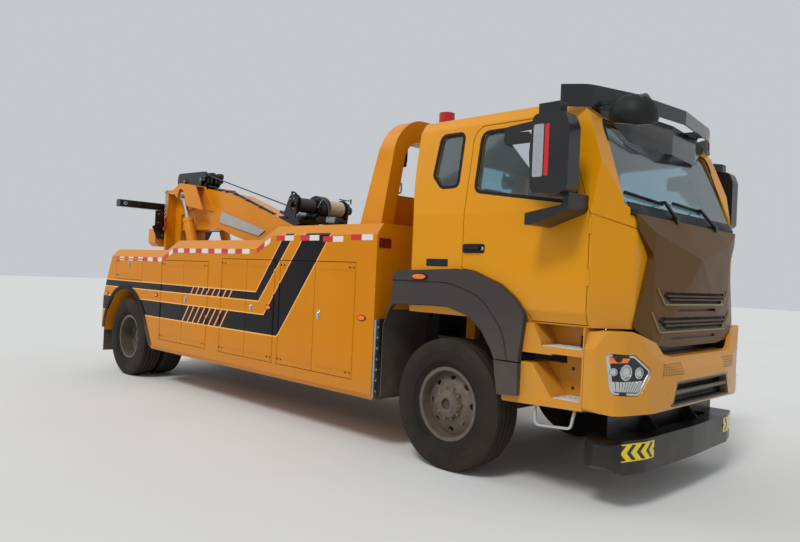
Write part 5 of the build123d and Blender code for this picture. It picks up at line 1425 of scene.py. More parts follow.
plate_inner_y = 0.655
plate_length = 0.345
plate_half_height = 0.060
plate_steps = 8
for side, word in side_names:
    plate_form = bmesh.new()
    places = [
        side * (plate_inner_y + plate_length * step / plate_steps) for step in range(plate_steps + 1)
    ]
    low_row = [(a, plate_middle_z - plate_half_height) for a in places]
    high_row = [(a, plate_middle_z + plate_half_height) for a in places]
    laid_strip(plate_form, low_row, high_row, on_bar, 0.003, 0.001)
    add_piece("chevron_plate_" + word, plate_form, chevron_yellow, "chassis")

# Step boxes: plastic-clad steel in cab yellow, with a bright checkered aluminium tread on
# the floor of each well and a bent wire step below.
tread_alloy = finish("bright_tread_alloy", "#D2D2CC", 0.35, metallic=0.35, patch=0.1, grain=0.0002)
step_paint = cab_paint.copy()
step_paint.name = "yellow_step_paint"
tree, shader, colour = base_colour(step_paint)
height = add_node(
    tree, "ShaderNodeSeparateXYZ", inputs={0: add_node(tree, "ShaderNodeTexCoord").outputs["Object"]}
).outputs[2]
wire_part = calculate(tree, "LESS_THAN", height, 0.663)
# The bent wire below is galvanised
tree.links.new(layer(tree, wire_part, colour, from_hex("#A9AAA5")), shader.inputs["Base Color"])
paint_node(step_paint, "step_boxes")
tread_plates = [
    # height, rear end at the outer edge, rear end inside, front end
    (1.098, 0.920, 0.935, 1.228),
    (0.745, 1.020, 1.030, 1.228),
]
tread_outer_y = 1.192
tread_inner_y = 0.995
for side, word in side_names:
    for level, rear_outer, rear_inner, front in tread_plates:
        plate_form = bmesh.new()
        corners = [
            (axle_x + rear_outer, side * tread_outer_y),
            (axle_x + front, side * tread_outer_y),
            (axle_x + front, side * tread_inner_y),
            (axle_x + rear_inner, side * tread_inner_y),
        ]
        prism(plate_form, corners, 2, level - 0.001, level + 0.006)
        rows, columns = 5, 8
        for row in range(rows):
            for column in range(columns):
                x = axle_x + rear_inner + 0.03 + column * (front - rear_inner - 0.06) / (columns - 1)
                y = side * (
                    tread_inner_y + 0.025 + row * (tread_outer_y - tread_inner_y - 0.05) / (rows - 1)
                )
                lean = 0.011 if (row + column) % 2 else -0.011
                start = Vector((x - 0.011, y - lean, level + 0.006))
                end = Vector((x + 0.011, y + lean, level + 0.006))
                across = (end - start).cross(Vector((0, 0, 1))).normalized() * 0.003
                prism(
                    plate_form,
                    [(start - across)[:2], (end - across)[:2], (end + across)[:2], (start + across)[:2]],
                    2, level + 0.005, level + 0.009
                )
        add_piece(
            "tread_%s_%d" % (word, round(level * 1000)), plate_form, tread_alloy, "chassis"
        )

# Fenders: flared guards moulded in grained dark grey plastic, brown with dust low down,
# each with an orange lamp in a black bezel on its rear part.
fender_plastic = finish(
    "grained_fender_plastic", "#3B3634", 0.62, mottle=0.1, patch=0.3, grain=0.0003, grain_size=0.0025
)
dusty(fender_plastic, 0.6, 1.35, 0.4, code="#6E5F4F")
paint_node(fender_plastic, "fenders")
fender_reader = surface_reader(["fenders"])
fender_lamp = (-0.239, 1.545)
for side, word in side_names:
    here = fender_reader((axle_x + fender_lamp[0], side * look_from, fender_lamp[1]), (0, -side, 0))
    bezel = bmesh.new()
    lens = bmesh.new()
    face = here.y
    prism(
        bezel, oval(axle_x + fender_lamp[0], fender_lamp[1], 0.088, 0.030), 1, face - side * 0.002,
        face + side * 0.008
    )
    prism(
        lens, oval(axle_x + fender_lamp[0], fender_lamp[1], 0.076, 0.021), 1, face + side * 0.006,
        face + side * 0.018
    )
    add_piece(
        "fender_lamp_bezel_" + word, bezel, black_plastic, "chassis", bevel=0.002,
        smooth=40
    )
    add_piece(
        "fender_lamp_lens_" + word, lens, orange_lens, "chassis", bevel=0.004, smooth=40
    )

# Sun visor: an opaque gloss black band with end caps, a smoked acrylic flap under it, and
# the round kerb mirror under its shell, whose glass looks down at the kerb.
visor_black = finish("visor_gloss_black", "#17181B", 0.16, mottle=0.04, patch=0.3, coat=0.5)
tree, shader, _ = base_colour(visor_black)
place = add_node(tree, "ShaderNodeTexCoord").outputs["Object"]
parted = add_node(tree, "ShaderNodeSeparateXYZ", inputs={0: place})
flap_part = calculate(tree, "LESS_THAN", parted.outputs[2], 2.823)
behind_mirror = calculate(tree, "LESS_THAN", parted.outputs[0], axle_x + 1.30)
inboard = calculate(tree, "LESS_THAN", calculate(tree, "ABSOLUTE", parted.outputs[1]), 1.02)
smoked = calculate(tree, "MULTIPLY", calculate(tree, "MULTIPLY", flap_part, behind_mirror), inboard)
# Where the sheet is the thin flap, a little light passes through it
tree.links.new(calculate(tree, "MULTIPLY_ADD", smoked, -0.18, 1.0), shader.inputs["Alpha"])
paint_node(visor_black, "visor")
# Matt black moulded plastic of outer trim
cowl_plastic = finish(
    "cowl_plastic", "#141414", 0.55, mottle=0.1, patch=0.2, grain=0.0002, grain_size=0.002
)
# The kerb mirror's moulded shell: a shallow bowl over the mirror's stalk, open below
kerb_shell = bmesh.new()
shell_profile = [
    (-0.088, 0.148), (-0.080, 0.158), (-0.050, 0.164), (0.0, 0.156), (0.045, 0.132), (0.078, 0.092),
    (0.098, 0.040)
]
kerb_place = Vector((axle_x + 1.440, -1.005, 2.735))
kerb_lean = Vector((0.20, -0.22, 0.95))
turned(kerb_shell, shell_profile, kerb_place, kerb_lean, 32)
add_piece("kerb_mirror_shell", kerb_shell, cowl_plastic, "chassis", smooth=50)
mirror_glass = finish("silvered_mirror_glass", "#DDE2E6", 0.03, metallic=1.0, mottle=0.01, patch=0.3)
round_mirror = bmesh.new()
down = -kerb_lean.normalized()
turned(
    round_mirror, [(0, 0.140), (0.004, 0.138), (0.012, 0.100), (0.018, 0.040)], kerb_place + down * 0.086,
    down, 32
)
add_piece("round_mirror_glass", round_mirror, mirror_glass, "chassis", smooth=60)

# Door mirrors: black moulded heads on bowed tubes, with glass on their rear faces and,
# on the outer face of each main head, a silver band with a red strip of reflective film.
mirror_black = finish("mirror_shell_black", "#1A1B1D", 0.35, patch=0.2, coat=0.3)
paint_node(mirror_black, "door_mirror_left", "door_mirror_right")
head_rear = 0.992
for side, word in side_names:
    shell_reader = surface_reader(["door_mirror_" + word])

    def on_head(a, b, level, reader=shell_reader, outward=side):
        hit = reader((axle_x + a, outward * look_from, b), (0, -outward, 0))
        return Vector((axle_x + a, hit.y + outward * level, b))

    band = bmesh.new()
    pad(band, rounded_box(head_rear, head_rear + 0.085, 2.235, 2.590, 0.02, 3), on_head, 0.004)
    bmesh.ops.recalc_face_normals(band, faces=band.faces)
    add_piece("mirror_band_" + word, band, lamp_silver, "cab_door_" + word)
    strip = bmesh.new()
    strip_near, strip_far = head_rear + 0.090, head_rear + 0.125
    corners = [(strip_near, 2.240), (strip_far, 2.240), (strip_far, 2.585), (strip_near, 2.585)]
    pad(strip, corners, on_head, 0.004)
    bmesh.ops.recalc_face_normals(strip, faces=strip.faces)
    add_piece("mirror_strip_" + word, strip, tape_red, "cab_door_" + word)
    glass_form = bmesh.new()

    def behind_head(a, b, level, reader=shell_reader):
        hit = reader((axle_x + 0.4, a, b), (1, 0, 0))
        return Vector((hit.x - level, a, b))

    outline = rounded_box(side * 1.398, side * 1.502, 2.200, 2.600, 0.02, 3)
    pad(glass_form, outline, behind_head, 0.004)
    add_piece("mirror_glass_" + word, glass_form, mirror_glass, "cab_door_" + word)

# Cowl: a black moulded strip that closes the gap between the windscreen and the front
# panel, with the wipers' pivots in it. Its upper edge laps the windscreen's seal.
cowl_half = 0.950
cowl_columns = 24
on_cowl = front_placer(front_reader)
cowl = bmesh.new()
cowl_places = [-cowl_half + 2 * cowl_half * step / cowl_columns for step in range(cowl_columns + 1)]
laid_strip(
    cowl, [(a, 2.026) for a in cowl_places], [(a, 2.068) for a in cowl_places], on_cowl, 0.014, 0.004
)
laid_strip(
    cowl, [(a, 2.060) for a in cowl_places], [(a, 2.122) for a in cowl_places], on_glass, 0.012, -0.002
)
add_piece("cowl_strip", cowl, cowl_plastic, "chassis", smooth=40)

# Closing sheets: thin steel in chassis black that shuts the gaps above and below the
# bumper, one behind the front panel's foot and one between the bumper and the bar.
closing = bmesh.new()
box(closing, (axle_x + 1.355, -0.820, 0.955), (axle_x + 1.359, 0.820, 1.190))
box(closing, (axle_x + 1.300, -0.930, 0.440), (axle_x + 1.304, 0.930, 0.700))
box(closing, (axle_x + 1.180, -1.120, 1.060), (axle_x + 1.184, 1.120, 1.190))
add_piece("closing_sheets", closing, arm_black, "chassis")


# Seats: two suspended cab seats, each a foam cushion and back in dark woven cloth, on a
# moulded pedestal with rubber bellows. Pressure swells the foam a little under its cloth.
seat_middle = 0.56
seat_half = 0.23
pad_bevel = 0.022
pad_cell = 0.012
pad_frames = 15
pad_pressure = 4.0
pad_swell = 0.022


def padded_form(name, corners, low, high, swell, cap, material):
    # A pad from its side outline: rounded, remeshed, blown up by cloth pressure, smoothed
    form = bmesh.new()
    prism(form, corners, 1, low, high)
    bmesh.ops.recalc_face_normals(form, faces=form.faces)
    bmesh.ops.bevel(
        form, geom=list(form.edges), offset=pad_bevel, segments=3, affect="EDGES", clamp_overlap=True
    )
    mesh = bpy.data.meshes.new(name)
    form.to_mesh(mesh)
    form.free()
    pad_object = bpy.data.objects.new(name, mesh)
    bpy.context.collection.objects.link(pad_object)
    remesh = pad_object.modifiers.new("remesh", "REMESH")
    remesh.mode = "VOXEL"
    remesh.voxel_size = pad_cell
    pad_object.data = evaluated_mesh(pad_object)
    rest = [vertex.co.copy() for vertex in pad_object.data.vertices]
    cloth = pad_object.modifiers.new("cloth", "CLOTH")
    cloth.settings.use_pressure = True
    cloth.settings.uniform_pressure_force = swell
    cloth.settings.effector_weights.gravity = 0
    cloth.settings.quality = 5
    cloth.settings.tension_stiffness = 25
    cloth.settings.compression_stiffness = 25
    cloth.collision_settings.use_collision = False
    for step in range(1, pad_frames + 1):
        bpy.context.scene.frame_set(step)
    pad_object.data = evaluated_mesh(pad_object)
    for vertex, start in zip(pad_object.data.vertices, rest):
        move = vertex.co - start
        if move.length > cap:
            vertex.co = start + move.normalized() * cap
    bpy.context.scene.frame_set(1)
    smooth = pad_object.modifiers.new("smooth", "SMOOTH")
    smooth.factor = 0.5
    smooth.iterations = 4
    pad_object.data = even = evaluated_mesh(pad_object)
    even.shade_smooth()
    even.materials.clear()
    even.materials.append(material)
    return pad_object


# Woven seat cloth: a 1.2 mm weave crossed in two directions, drawn 4.8 mm wide so that it
# shows, with a soft sheen
seat_cloth = finish("woven_seat_cloth", "#26272B", 0.85, mottle=0.1, patch=0.15)
tree, shader, colour = base_colour(seat_cloth)
weave_place = add_node(tree, "ShaderNodeTexCoord").outputs["Object"]
weave_scale = 2 * math.pi / 0.0048
wave_inputs = {"Vector": weave_place, "Scale": weave_scale / 20}
warp, weft = (
    add_node(tree, "ShaderNodeTexWave", {"wave_type": "BANDS", "bands_direction": way}, wave_inputs)
    for way in "YZ"
)
threads = calculate(tree, "MULTIPLY", warp.outputs["Fac"], weft.outputs["Fac"])
tree.links.new(
    layer(tree, calculate(tree, "MULTIPLY", threads, 0.35), colour, from_hex("#4A4C54")),
    shader.inputs["Base Color"]
)
thread_bump = add_node(
    tree, "ShaderNodeBump", inputs={"Height": threads, "Distance": 0.0006, "Strength": 0.6}
)
tree.links.new(thread_bump.outputs[0], shader.inputs["Normal"])
shader.inputs["Sheen Weight"].default_value = 0.3
shader.inputs["Sheen Roughness"].default_value = 0.5
# Moulded seat pedestal
pedestal_plastic = finish(
    "seat_pedestal_plastic", "#1D1E20", 0.6, mottle=0.08, patch=0.2, grain=0.0002, grain_size=0.002
)
cushion_side = [(0.175, 1.665), (0.570, 1.668), (0.582, 1.740), (0.545, 1.775), (0.190, 1.772)]
back_side = [(0.055, 1.800), (0.150, 1.790), (0.005, 2.330), (-0.040, 2.330)]
pedestal_side = [(0.262, 1.295), (0.488, 1.295), (0.470, 1.600), (0.560, 1.640), (0.560, 1.668)]
pedestal_side += [(0.160, 1.668), (0.160, 1.640), (0.280, 1.600)]
for side, word in side_names:
    low = side * seat_middle - seat_half + 0.022
    high = side * seat_middle + seat_half - 0.022
    cushion = padded_form(
        "seat_cushion_" + word, ahead(cushion_side), low, high, pad_pressure, pad_swell, seat_cloth
    )
    back = padded_form(
        "seat_back_" + word, ahead(back_side), low + 0.012, high - 0.012, pad_pressure, pad_swell,
        seat_cloth
    )
    for padded_piece in (cushion, back):
        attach(padded_piece, "chassis")
    pedestal = bmesh.new()
    prism(pedestal, ahead(pedestal_side), 1, side * seat_middle - 0.15, side * seat_middle + 0.15)
    add_piece(
        "seat_pedestal_" + word, pedestal, pedestal_plastic, "chassis", bevel=0.008,
        smooth=40
    )
    bellows = bmesh.new()
    for fold in range(5):
        level = 1.36 + fold * 0.045
        middle_x, middle_y = axle_x + 0.375, side * seat_middle
        half_x, half_y = 0.122, 0.16
        corners = rounded_box(
            middle_x - half_x, middle_x + half_x, middle_y - half_y, middle_y + half_y, 0.03, 3
        )
        prism(bellows, corners, 2, level - 0.014, level + 0.014)
    add_piece("seat_bellows_" + word, bellows, seal_rubber, "chassis", bevel=0.008, smooth=50)
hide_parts("seats")

# Dashboard: moulded in black soft-touch plastic with two round dials behind the wheel,
# an instrument hood and a row of square switches on its centre face.
dash_plastic = finish("dashboard_plastic", "#2B2C2E", 0.6, patch=0.3, grain=0.0003)
paint_node(dash_plastic, "dashboard")
dash_reader = surface_reader(["dashboard"])


def on_dash(y, z):
    # The dashboard's rear face, looked at from the seats
    return dash_reader((axle_x + 0.55, y, z), (1, 0, 0))


# Dial faces: matt black discs with pale rings
dial_black = finish("dial_face_black", "#0E0F10", 0.5, mottle=0.05, patch=0.05)
dial_ring = finish("dial_ring_silver", "#B9BCBE", 0.3, metallic=0.9, mottle=0.05, patch=0.05)
needle_red = finish("needle_red", "#C2331F", 0.5, mottle=0.05, patch=0.05)
switch_grey = finish("switch_grey", "#3E4043", 0.5, patch=0.03)
driver_y = 0.560
dials = bmesh.new()
rings = bmesh.new()
needles = bmesh.new()
for offset in (-0.085, 0.085):
    hit = on_dash(driver_y + offset, 1.905)
    if hit is None:
        continue
    centre = (hit.x + 0.001, driver_y + offset, 1.905)
    turned(dials, [(0, 0.062), (0.004, 0.062)], centre, (-1, 0, 0), 28)
    turned(
        rings, [(0.002, 0.068), (0.010, 0.068), (0.012, 0.063), (0.002, 0.060)], centre, (-1, 0, 0), 28
    )
    for step in range(11):
        angle = math.radians(-50 + 28 * step)
        across, up = -math.cos(angle), math.sin(angle)
        tick = Vector((hit.x - 0.0035, centre[1] + across * 0.048, 1.905 + up * 0.048))
        rod(rings, tick, tick + Vector((0, across * 0.009, up * 0.009)), 0.0016, 6)
    rod(
        needles, (hit.x - 0.006, centre[1], 1.905), (hit.x - 0.006, centre[1] - 0.028, 1.905 - 0.030),
        0.0022, 6
    )
    turned(
        needles, [(0, 0.008), (0.006, 0.008), (0.008, 0.005)], (hit.x - 0.003, centre[1], 1.905),
        (-1, 0, 0), 14
    )
add_piece("dials", dials, dial_black, "chassis")
add_piece("dial_rings", rings, dial_ring, "chassis", smooth=40)
add_piece("dial_needles", needles, needle_red, "chassis", smooth=40)
switches = bmesh.new()
for row in range(2):
    for column in range(6):
        y = 0.235 - column * 0.056
        z = 1.735 - row * 0.062
        hit = on_dash(y, z)
        if hit is not None:
            box(switches, (hit.x - 0.009, y - 0.022, z - 0.024), (hit.x + 0.003, y + 0.022, z + 0.024))
for y, z in ((0.16, 1.895), (0.02, 1.895), (-0.12, 1.895), (-0.75, 1.88), (0.90, 1.88)):
    hit = on_dash(y, z)
    if hit is not None:
        for slat in range(5):
            box(
                switches, (hit.x - 0.006, y - 0.055, z - 0.032 + slat * 0.016),
                (hit.x + 0.003, y + 0.055, z - 0.026 + slat * 0.016)
            )
add_piece("dash_switches", switches, switch_grey, "chassis", bevel=0.002)
lever = bmesh.new()
bent_rod(
    lever,
    curved([(axle_x + 0.62, 0.08, 1.345), (axle_x + 0.60, 0.085, 1.50), (axle_x + 0.66, 0.09, 1.66)]),
    0.011
)
turned(
    lever, [(0, 0.018), (0.02, 0.028), (0.045, 0.026), (0.058, 0.014)], (axle_x + 0.655, 0.09, 1.655),
    (0.2, 0, 1), 18
)
turned(
    lever, [(0, 0.070), (0.02, 0.062), (0.045, 0.035), (0.09, 0.016)], (axle_x + 0.62, 0.08, 1.335),
    (0, 0, 1), 20
)
add_piece("gear_lever", lever, dash_plastic, "chassis", smooth=50)

# Headboard: a hoop of folded steel plate in the body's orange, with a short grab handle of
# bent bar on its leg. Two round work lamps hang in brackets under the hoop, and two red
# beacons stand on it. All lamps are one moulded part type with housings of black plastic.
# Orange machine paint, sprayed over plate, with a soft unevenness
machine_orange = finish(
    "orange_machine_paint", "#D6860A", 0.3, mottle=0.05, patch=0.35, coat=0.12, shine=0.25
)
paint_node(machine_orange, "headboard")
# Lamp plastic: black housings below, and the beacons' red domes above the hoop's top
lamp_plastic = finish(
    "lamp_plastic", "#131315", 0.35, mottle=0.1, patch=0.1, grain=0.00008, grain_size=0.002, coat=0.4
)
dome_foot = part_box("lamps")[1][2] - 0.13
tree, shader, colour = base_colour(lamp_plastic)
place = add_node(tree, "ShaderNodeTexCoord").outputs["Object"]
height = add_node(tree, "ShaderNodeSeparateXYZ", inputs={0: place}).outputs[2]
dome_part = calculate(tree, "GREATER_THAN", height, dome_foot)
tree.links.new(layer(tree, dome_part, colour, from_hex("#B01812")), shader.inputs["Base Color"])
paint_node(lamp_plastic, "lamps")
work_lens = finish(
    "frosted_lamp_lens", "#C9CDD0", 0.12, mottle=0.1, patch=0.02, grain=0.0004, grain_size=0.008,
    coat=1.0
)
lamp_rim = finish("lamp_rim_alloy", "#8C8F92", 0.35, metallic=0.9, mottle=0.1, patch=0.05)
work_lamp_x = axle_x - 0.960
work_lamp_y = 0.855
work_lamp_z = 2.625
for side, word in side_names:
    centre = (work_lamp_x, side * work_lamp_y, work_lamp_z)
    rim_form = bmesh.new()
    turned(
        rim_form, [(-0.002, 0.076), (0.010, 0.076), (0.014, 0.068), (0.004, 0.062)], centre, (-1, 0, 0),
        28
    )
    add_piece("work_lamp_rim_" + word, rim_form, lamp_rim, "chassis", smooth=35)
    lens_form = bmesh.new()
    turned(
        lens_form, [(0.003, 0.062), (0.008, 0.060), (0.012, 0.045), (0.014, 0.015)], centre, (-1, 0, 0),
        28
    )
    add_piece("work_lamp_lens_" + word, lens_form, work_lens, "chassis", smooth=35)
    bracket = bmesh.new()
    for way in (-1, 1):
        arm_y = side * work_lamp_y + way * 0.086
        box(
            bracket, (work_lamp_x + 0.022, min(arm_y, arm_y + way * 0.004), 2.615),
            (work_lamp_x + 0.047, max(arm_y, arm_y + way * 0.004), 2.725)
        )
    box(
        bracket, (work_lamp_x + 0.022, side * work_lamp_y - 0.09, 2.721),
        (work_lamp_x + 0.047, side * work_lamp_y + 0.09, 2.726)
    )
    rod(
        bracket, (work_lamp_x + 0.034, side * work_lamp_y, 2.724),
        (work_lamp_x + 0.034, side * work_lamp_y, 2.802), 0.009
    )
    add_piece("work_lamp_bracket_" + word, bracket, black_plastic, "chassis")
# Bare bar worn bright by hands
handle_steel = finish("worn_bar_steel", "#A39A8E", 0.4, metallic=0.7, mottle=0.15, patch=0.03)
handle_reader = surface_reader(["headboard"])
for side, word in side_names:
    handle = bmesh.new()
    feet = []
    for level in (2.385, 2.295):
        hit = handle_reader((axle_x - 0.4, side * 0.960, level), (-1, 0, 0))
        feet.append(hit if hit is not None else Vector((axle_x - 0.86, side * 0.96, level)))
    lift = Vector((0.06, -side * 0.015, 0))
    path = curved(
        [
            feet[0] - Vector((0.01, 0, 0)), feet[0] + lift * 0.8, feet[0] + lift + Vector((0, 0, -0.02)),
            feet[1] + lift + Vector((0, 0, 0.02)), feet[1] + lift * 0.8, feet[1] - Vector((0.01, 0, 0))
        ]
    )
    bent_rod(handle, path, 0.008)
    add_piece("headboard_handle_" + word, handle, handle_steel, "chassis", smooth=40)

# Boom: a welded box of folded plate in orange, with its yokes, hoods and leg. A knee
# plate stiffens the corner under the yokes, and blank grey signs are riveted on its sides.
paint_node(machine_orange, "boom_outer", "boom_pedestal", "lift_barrels", "underlift_outer")
boom_foot = Vector((axle_x - 3.300, 0, 1.760))
boom_slope = math.radians(18)
boom_side_y = 0.1785


def on_boom(distance, height, width=0.0):
    # A point rearwards along the boom from its foot pin, at a height off that line
    back = Vector((-math.cos(boom_slope), 0, math.sin(boom_slope)))
    up = Vector((math.sin(boom_slope), 0, math.cos(boom_slope)))
    return boom_foot + back * distance + up * height + Vector((0, width, 0))


knee = bmesh.new()
knee_corners = [
    # the lower edge from the leg forwards, then back along the boom's underside
    (-6.330, 2.100),
    (-5.260, 2.104),
    (-4.790, 1.985),
    (-4.250, 1.860),
    (-4.250, 1.935),
    (-4.560, 2.000),
    (-5.060, 2.095),
    (-5.540, 2.320),
    (-5.910, 2.470),
    (-6.330, 2.590),
]
prism(knee, ahead(knee_corners), 1, -0.165, 0.165)
add_piece("boom_knee", knee, machine_orange, "boom", bevel=0.006)
flanges = bmesh.new()
for side in (-1, 1):
    y_near, y_far = sorted((side * 0.160, side * 0.186))
    flange_side = ahead([(-6.335, 2.088), (-5.260, 2.092), (-5.260, 2.108), (-6.335, 2.104)])
    prism(flanges, flange_side, 1, y_near, y_far)
add_piece("boom_knee_flanges", flanges, machine_orange, "boom", bevel=0.002)
# Grey baked enamel on thin sheet, left blank
sign_grey = finish("grey_sign_enamel", "#A9AAA4", 0.4, mottle=0.05, patch=0.2, coat=0.3)
sign_corners = [(1.971, -0.014), (0.816, 0.055), (0.935, -0.063), (1.965, -0.185)]
for side, word in side_names:
    sign = bmesh.new()
    outline = [(on_boom(*corner).x, on_boom(*corner).z) for corner in sign_corners]
    prism(sign, outline, 1, *sorted((side * boom_side_y, side * (boom_side_y + 0.002))))
    add_piece("boom_sign_" + word, sign, sign_grey, "boom")
    rivets = bmesh.new()
    for distance, level in (
        (1.935, -0.035), (1.935, -0.165), (0.955, 0.030), (1.04, -0.060), (1.45, 0.0), (1.45, -0.107)
    ):
        turned(
            rivets, [(0, 0.006), (0.002, 0.005), (0.003, 0.003)],
            on_boom(distance, level, side * (boom_side_y + 0.0015)), (0, side, 0), 12
        )
    add_piece("boom_sign_rivets_" + word, rivets, lamp_rim, "boom", smooth=30)

# Boom head, winches and underlift: cast and plate parts in glossy black. The head's side
# plates carry the sheave pins' keeper plates, and the winch plates carry bolts.
# Glossy black machine enamel
boom_enamel = finish(
    "black_machine_enamel", "#121214", 0.28, mottle=0.2, patch=0.2, grain=0.00008, grain_size=0.004,
    coat=0.35
)
paint_node(boom_enamel, "boom_inner", "winches", "underlift_inner", "crossbar")
pin_steel = finish("zinc_pin_steel", "#8E8C86", 0.35, metallic=0.85, mottle=0.15, patch=0.04)
head_half = 0.5 * (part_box("boom_inner")[1][1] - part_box("boom_inner")[0][1])
rod_eye = Vector((axle_x - 6.095, 0, 2.600))
keepers = bmesh.new()
pin_ends = bmesh.new()
for side in (-1, 1):
    for back, up in ((0.235, 0.250), (-0.260, 0.245)):
        centre = rod_eye + Vector((-back, side * (head_half - 0.003), up))
        turned(pin_ends, [(0, 0.028), (0.008, 0.028), (0.011, 0.022)], centre, (0, side, 0), 20)
        keeper_low = (centre.x + 0.02, head_half - 0.021, centre.z - 0.018)
        keeper_high = (centre.x + 0.10, head_half - 0.013, centre.z + 0.018)
        side_box(keepers, side, keeper_low, keeper_high)
        for step in (0.045, 0.085):
            turned(
                pin_ends, [(0, 0.009), (0.006, 0.009), (0.008, 0.006)],
                (centre.x + step, side * (head_half - 0.0135), centre.z), (0, side, 0), 6
            )
add_piece("head_keepers", keepers, boom_enamel, "boom_inner", bevel=0.002)
add_piece("head_pin_ends", pin_ends, pin_steel, "boom_inner", smooth=35)

# Winch rope: steel wire rope, wound on the right drum, led off below it and taut to the
# head's front sheave. The left drum holds pale fibre rope. Both lie in close turns.
drum = on_boom(0.060, 0.600)
drum_radius = 0.070
rope_radius = 0.0085
front_sheave = rod_eye + Vector((0.260, 0, 0.245))
sheave_track = 0.090
rope_y = 0.078
# Grey steel wires laid in strands, a little oily
wire_rope = finish(
    "oiled_wire_rope", "#4A4B4C", 0.45, metallic=0.6, mottle=0.3, patch=0.01, grain=0.0012,
    grain_size=0.006
)
# Pale fibre rope, plaited, with a matt weathered surface
fibre_rope = finish(
    "pale_fibre_rope", "#B9AE93", 0.85, mottle=0.2, patch=0.03, grain=0.0012, grain_size=0.006
)


def wound(form, low_y, high_y, layers):
    # Adds the turns on a drum as one closed form, each turn a round ridge
    pitch = rope_radius * 2
    turns = int((high_y - low_y) / pitch)
    profile = [(low_y, drum_radius - 0.002)]
    base = drum_radius + (layers - 1) * pitch * 0.86
    for turn in range(turns):
        middle = low_y + (turn + 0.5) * pitch
        for angle in (150, 120, 90, 60, 30):
            away = math.radians(angle)
            profile.append(
                (middle + rope_radius * math.cos(away), base + rope_radius + rope_radius * math.sin(away))
            )
    profile.append((high_y, drum_radius - 0.002))
    turned(form, profile, (drum.x, 0, drum.z), (0, 1, 0), 24)


right_turns = bmesh.new()
wound(right_turns, -0.360, -0.090, 1)
add_piece("wire_turns", right_turns, wire_rope, "boom", smooth=50)
left_turns = bmesh.new()
wound(left_turns, 0.090, 0.360, 2)
add_piece("fibre_turns", left_turns, fibre_rope, "boom", smooth=50)
lead = bmesh.new()
drum_end = Vector((drum.x, -0.215, drum.z))
sheave_end = Vector((front_sheave.x, -rope_y, front_sheave.z))
run = Vector((sheave_end.x - drum_end.x, 0, sheave_end.z - drum_end.z))
spread = math.asin((drum_radius + rope_radius + sheave_track) / run.length)
lean = math.atan2(run.z, -run.x)
below = Vector((-math.sin(lean + spread), 0, -math.cos(lean + spread)))
start = drum_end + below * (drum_radius + rope_radius)
finish_point = sheave_end - below * sheave_track
path = [start.lerp(finish_point, step / 20) for step in range(21)]
bent_rod(lead, path, rope_radius, 10)
add_piece("winch_lead", lead, wire_rope, "boom", smooth=60)

# Winch fittings: a clutch lever on the near bearing plate, a long tension arm with an
# upright tip on the far one, bolts round both plates and the gear housing, and hoses.
hose_rubber = finish("hydraulic_hose", "#1D1E20", 0.6, mottle=0.1, patch=0.2, grain=0.0003)
hose_grey = finish("grey_braided_hose", "#6F7374", 0.5, mottle=0.15, patch=0.05, grain=0.0004)
levers = bmesh.new()
bent_rod(
    levers,
    curved(
        [
            (drum.x - 0.02, -0.405, drum.z + 0.09), (drum.x - 0.02, -0.405, drum.z + 0.13),
            (drum.x - 0.04, -0.36, drum.z + 0.150), (drum.x - 0.05, -0.30, drum.z + 0.118)
        ]
    ),
    0.010
)
turned(
    levers, [(0, 0.012), (0.02, 0.016), (0.035, 0.012)], (drum.x - 0.018, -0.405, drum.z + 0.12),
    (0.1, -0.1, 1), 12
)
bent_rod(
    levers,
    curved(
        [
            (drum.x + 0.02, 0.30, drum.z + 0.135), (drum.x + 0.03, 0.40, drum.z + 0.128),
            (drum.x + 0.05, 0.475, drum.z + 0.128)
        ]
    ),
    0.006
)
rod(levers, (drum.x + 0.05, 0.475, drum.z + 0.085), (drum.x + 0.05, 0.475, drum.z + 0.150), 0.009)
add_piece("winch_levers", levers, boom_enamel, "boom", smooth=40)
hoses = bmesh.new()
motor = on_boom(0.210, 0.540, -0.150)
for offset in (0.0, 0.035):
    bent_rod(
        hoses,
        curved(
            [
                motor + Vector((-0.02 + offset, -0.012, 0.03)),
                motor + Vector((-0.05 + offset, -0.07, 0.05)),
                motor + Vector((-0.09 + offset, -0.08, -0.07)), on_boom(0.48, 0.335, -0.155),
                on_boom(0.66, 0.290, -0.12)
            ]
        ),
        0.011
    )
add_piece("winch_motor_hoses", hoses, hose_rubber, "boom", smooth=50)
loop = bmesh.new()
loop_points = [
    (0.12, -0.115, -0.02), (0.142, -0.100, 0.03), (0.128, -0.04, 0.085), (0.148, 0.02, 0.02),
    (0.135, 0.05, -0.08), (0.10, 0.07, -0.128)
]
bent_rod(loop, curved([drum + Vector(point) for point in loop_points]), 0.006)
add_piece("winch_grey_hose", loop, hose_grey, "boom", smooth=50)
winch_bolts = bmesh.new()
for side in (-1, 1):
    for step in range(12):
        angle = 2 * math.pi * step / 12
        centre = drum + Vector((0.118 * math.cos(angle), side * 0.061, 0.118 * math.sin(angle)))
        turned(winch_bolts, [(0, 0.008), (0.006, 0.008), (0.008, 0.005)], centre, (0, side, 0), 6)
    for step in range(6):
        angle = 2 * math.pi * step / 6
        centre = drum + Vector((0.068 * math.cos(angle), side * 0.414, 0.068 * math.sin(angle)))
        turned(winch_bolts, [(0, 0.009), (0.008, 0.009), (0.010, 0.006)], centre, (0, side, 0), 6)
add_piece("winch_bolts", winch_bolts, pin_steel, "boom", smooth=30)

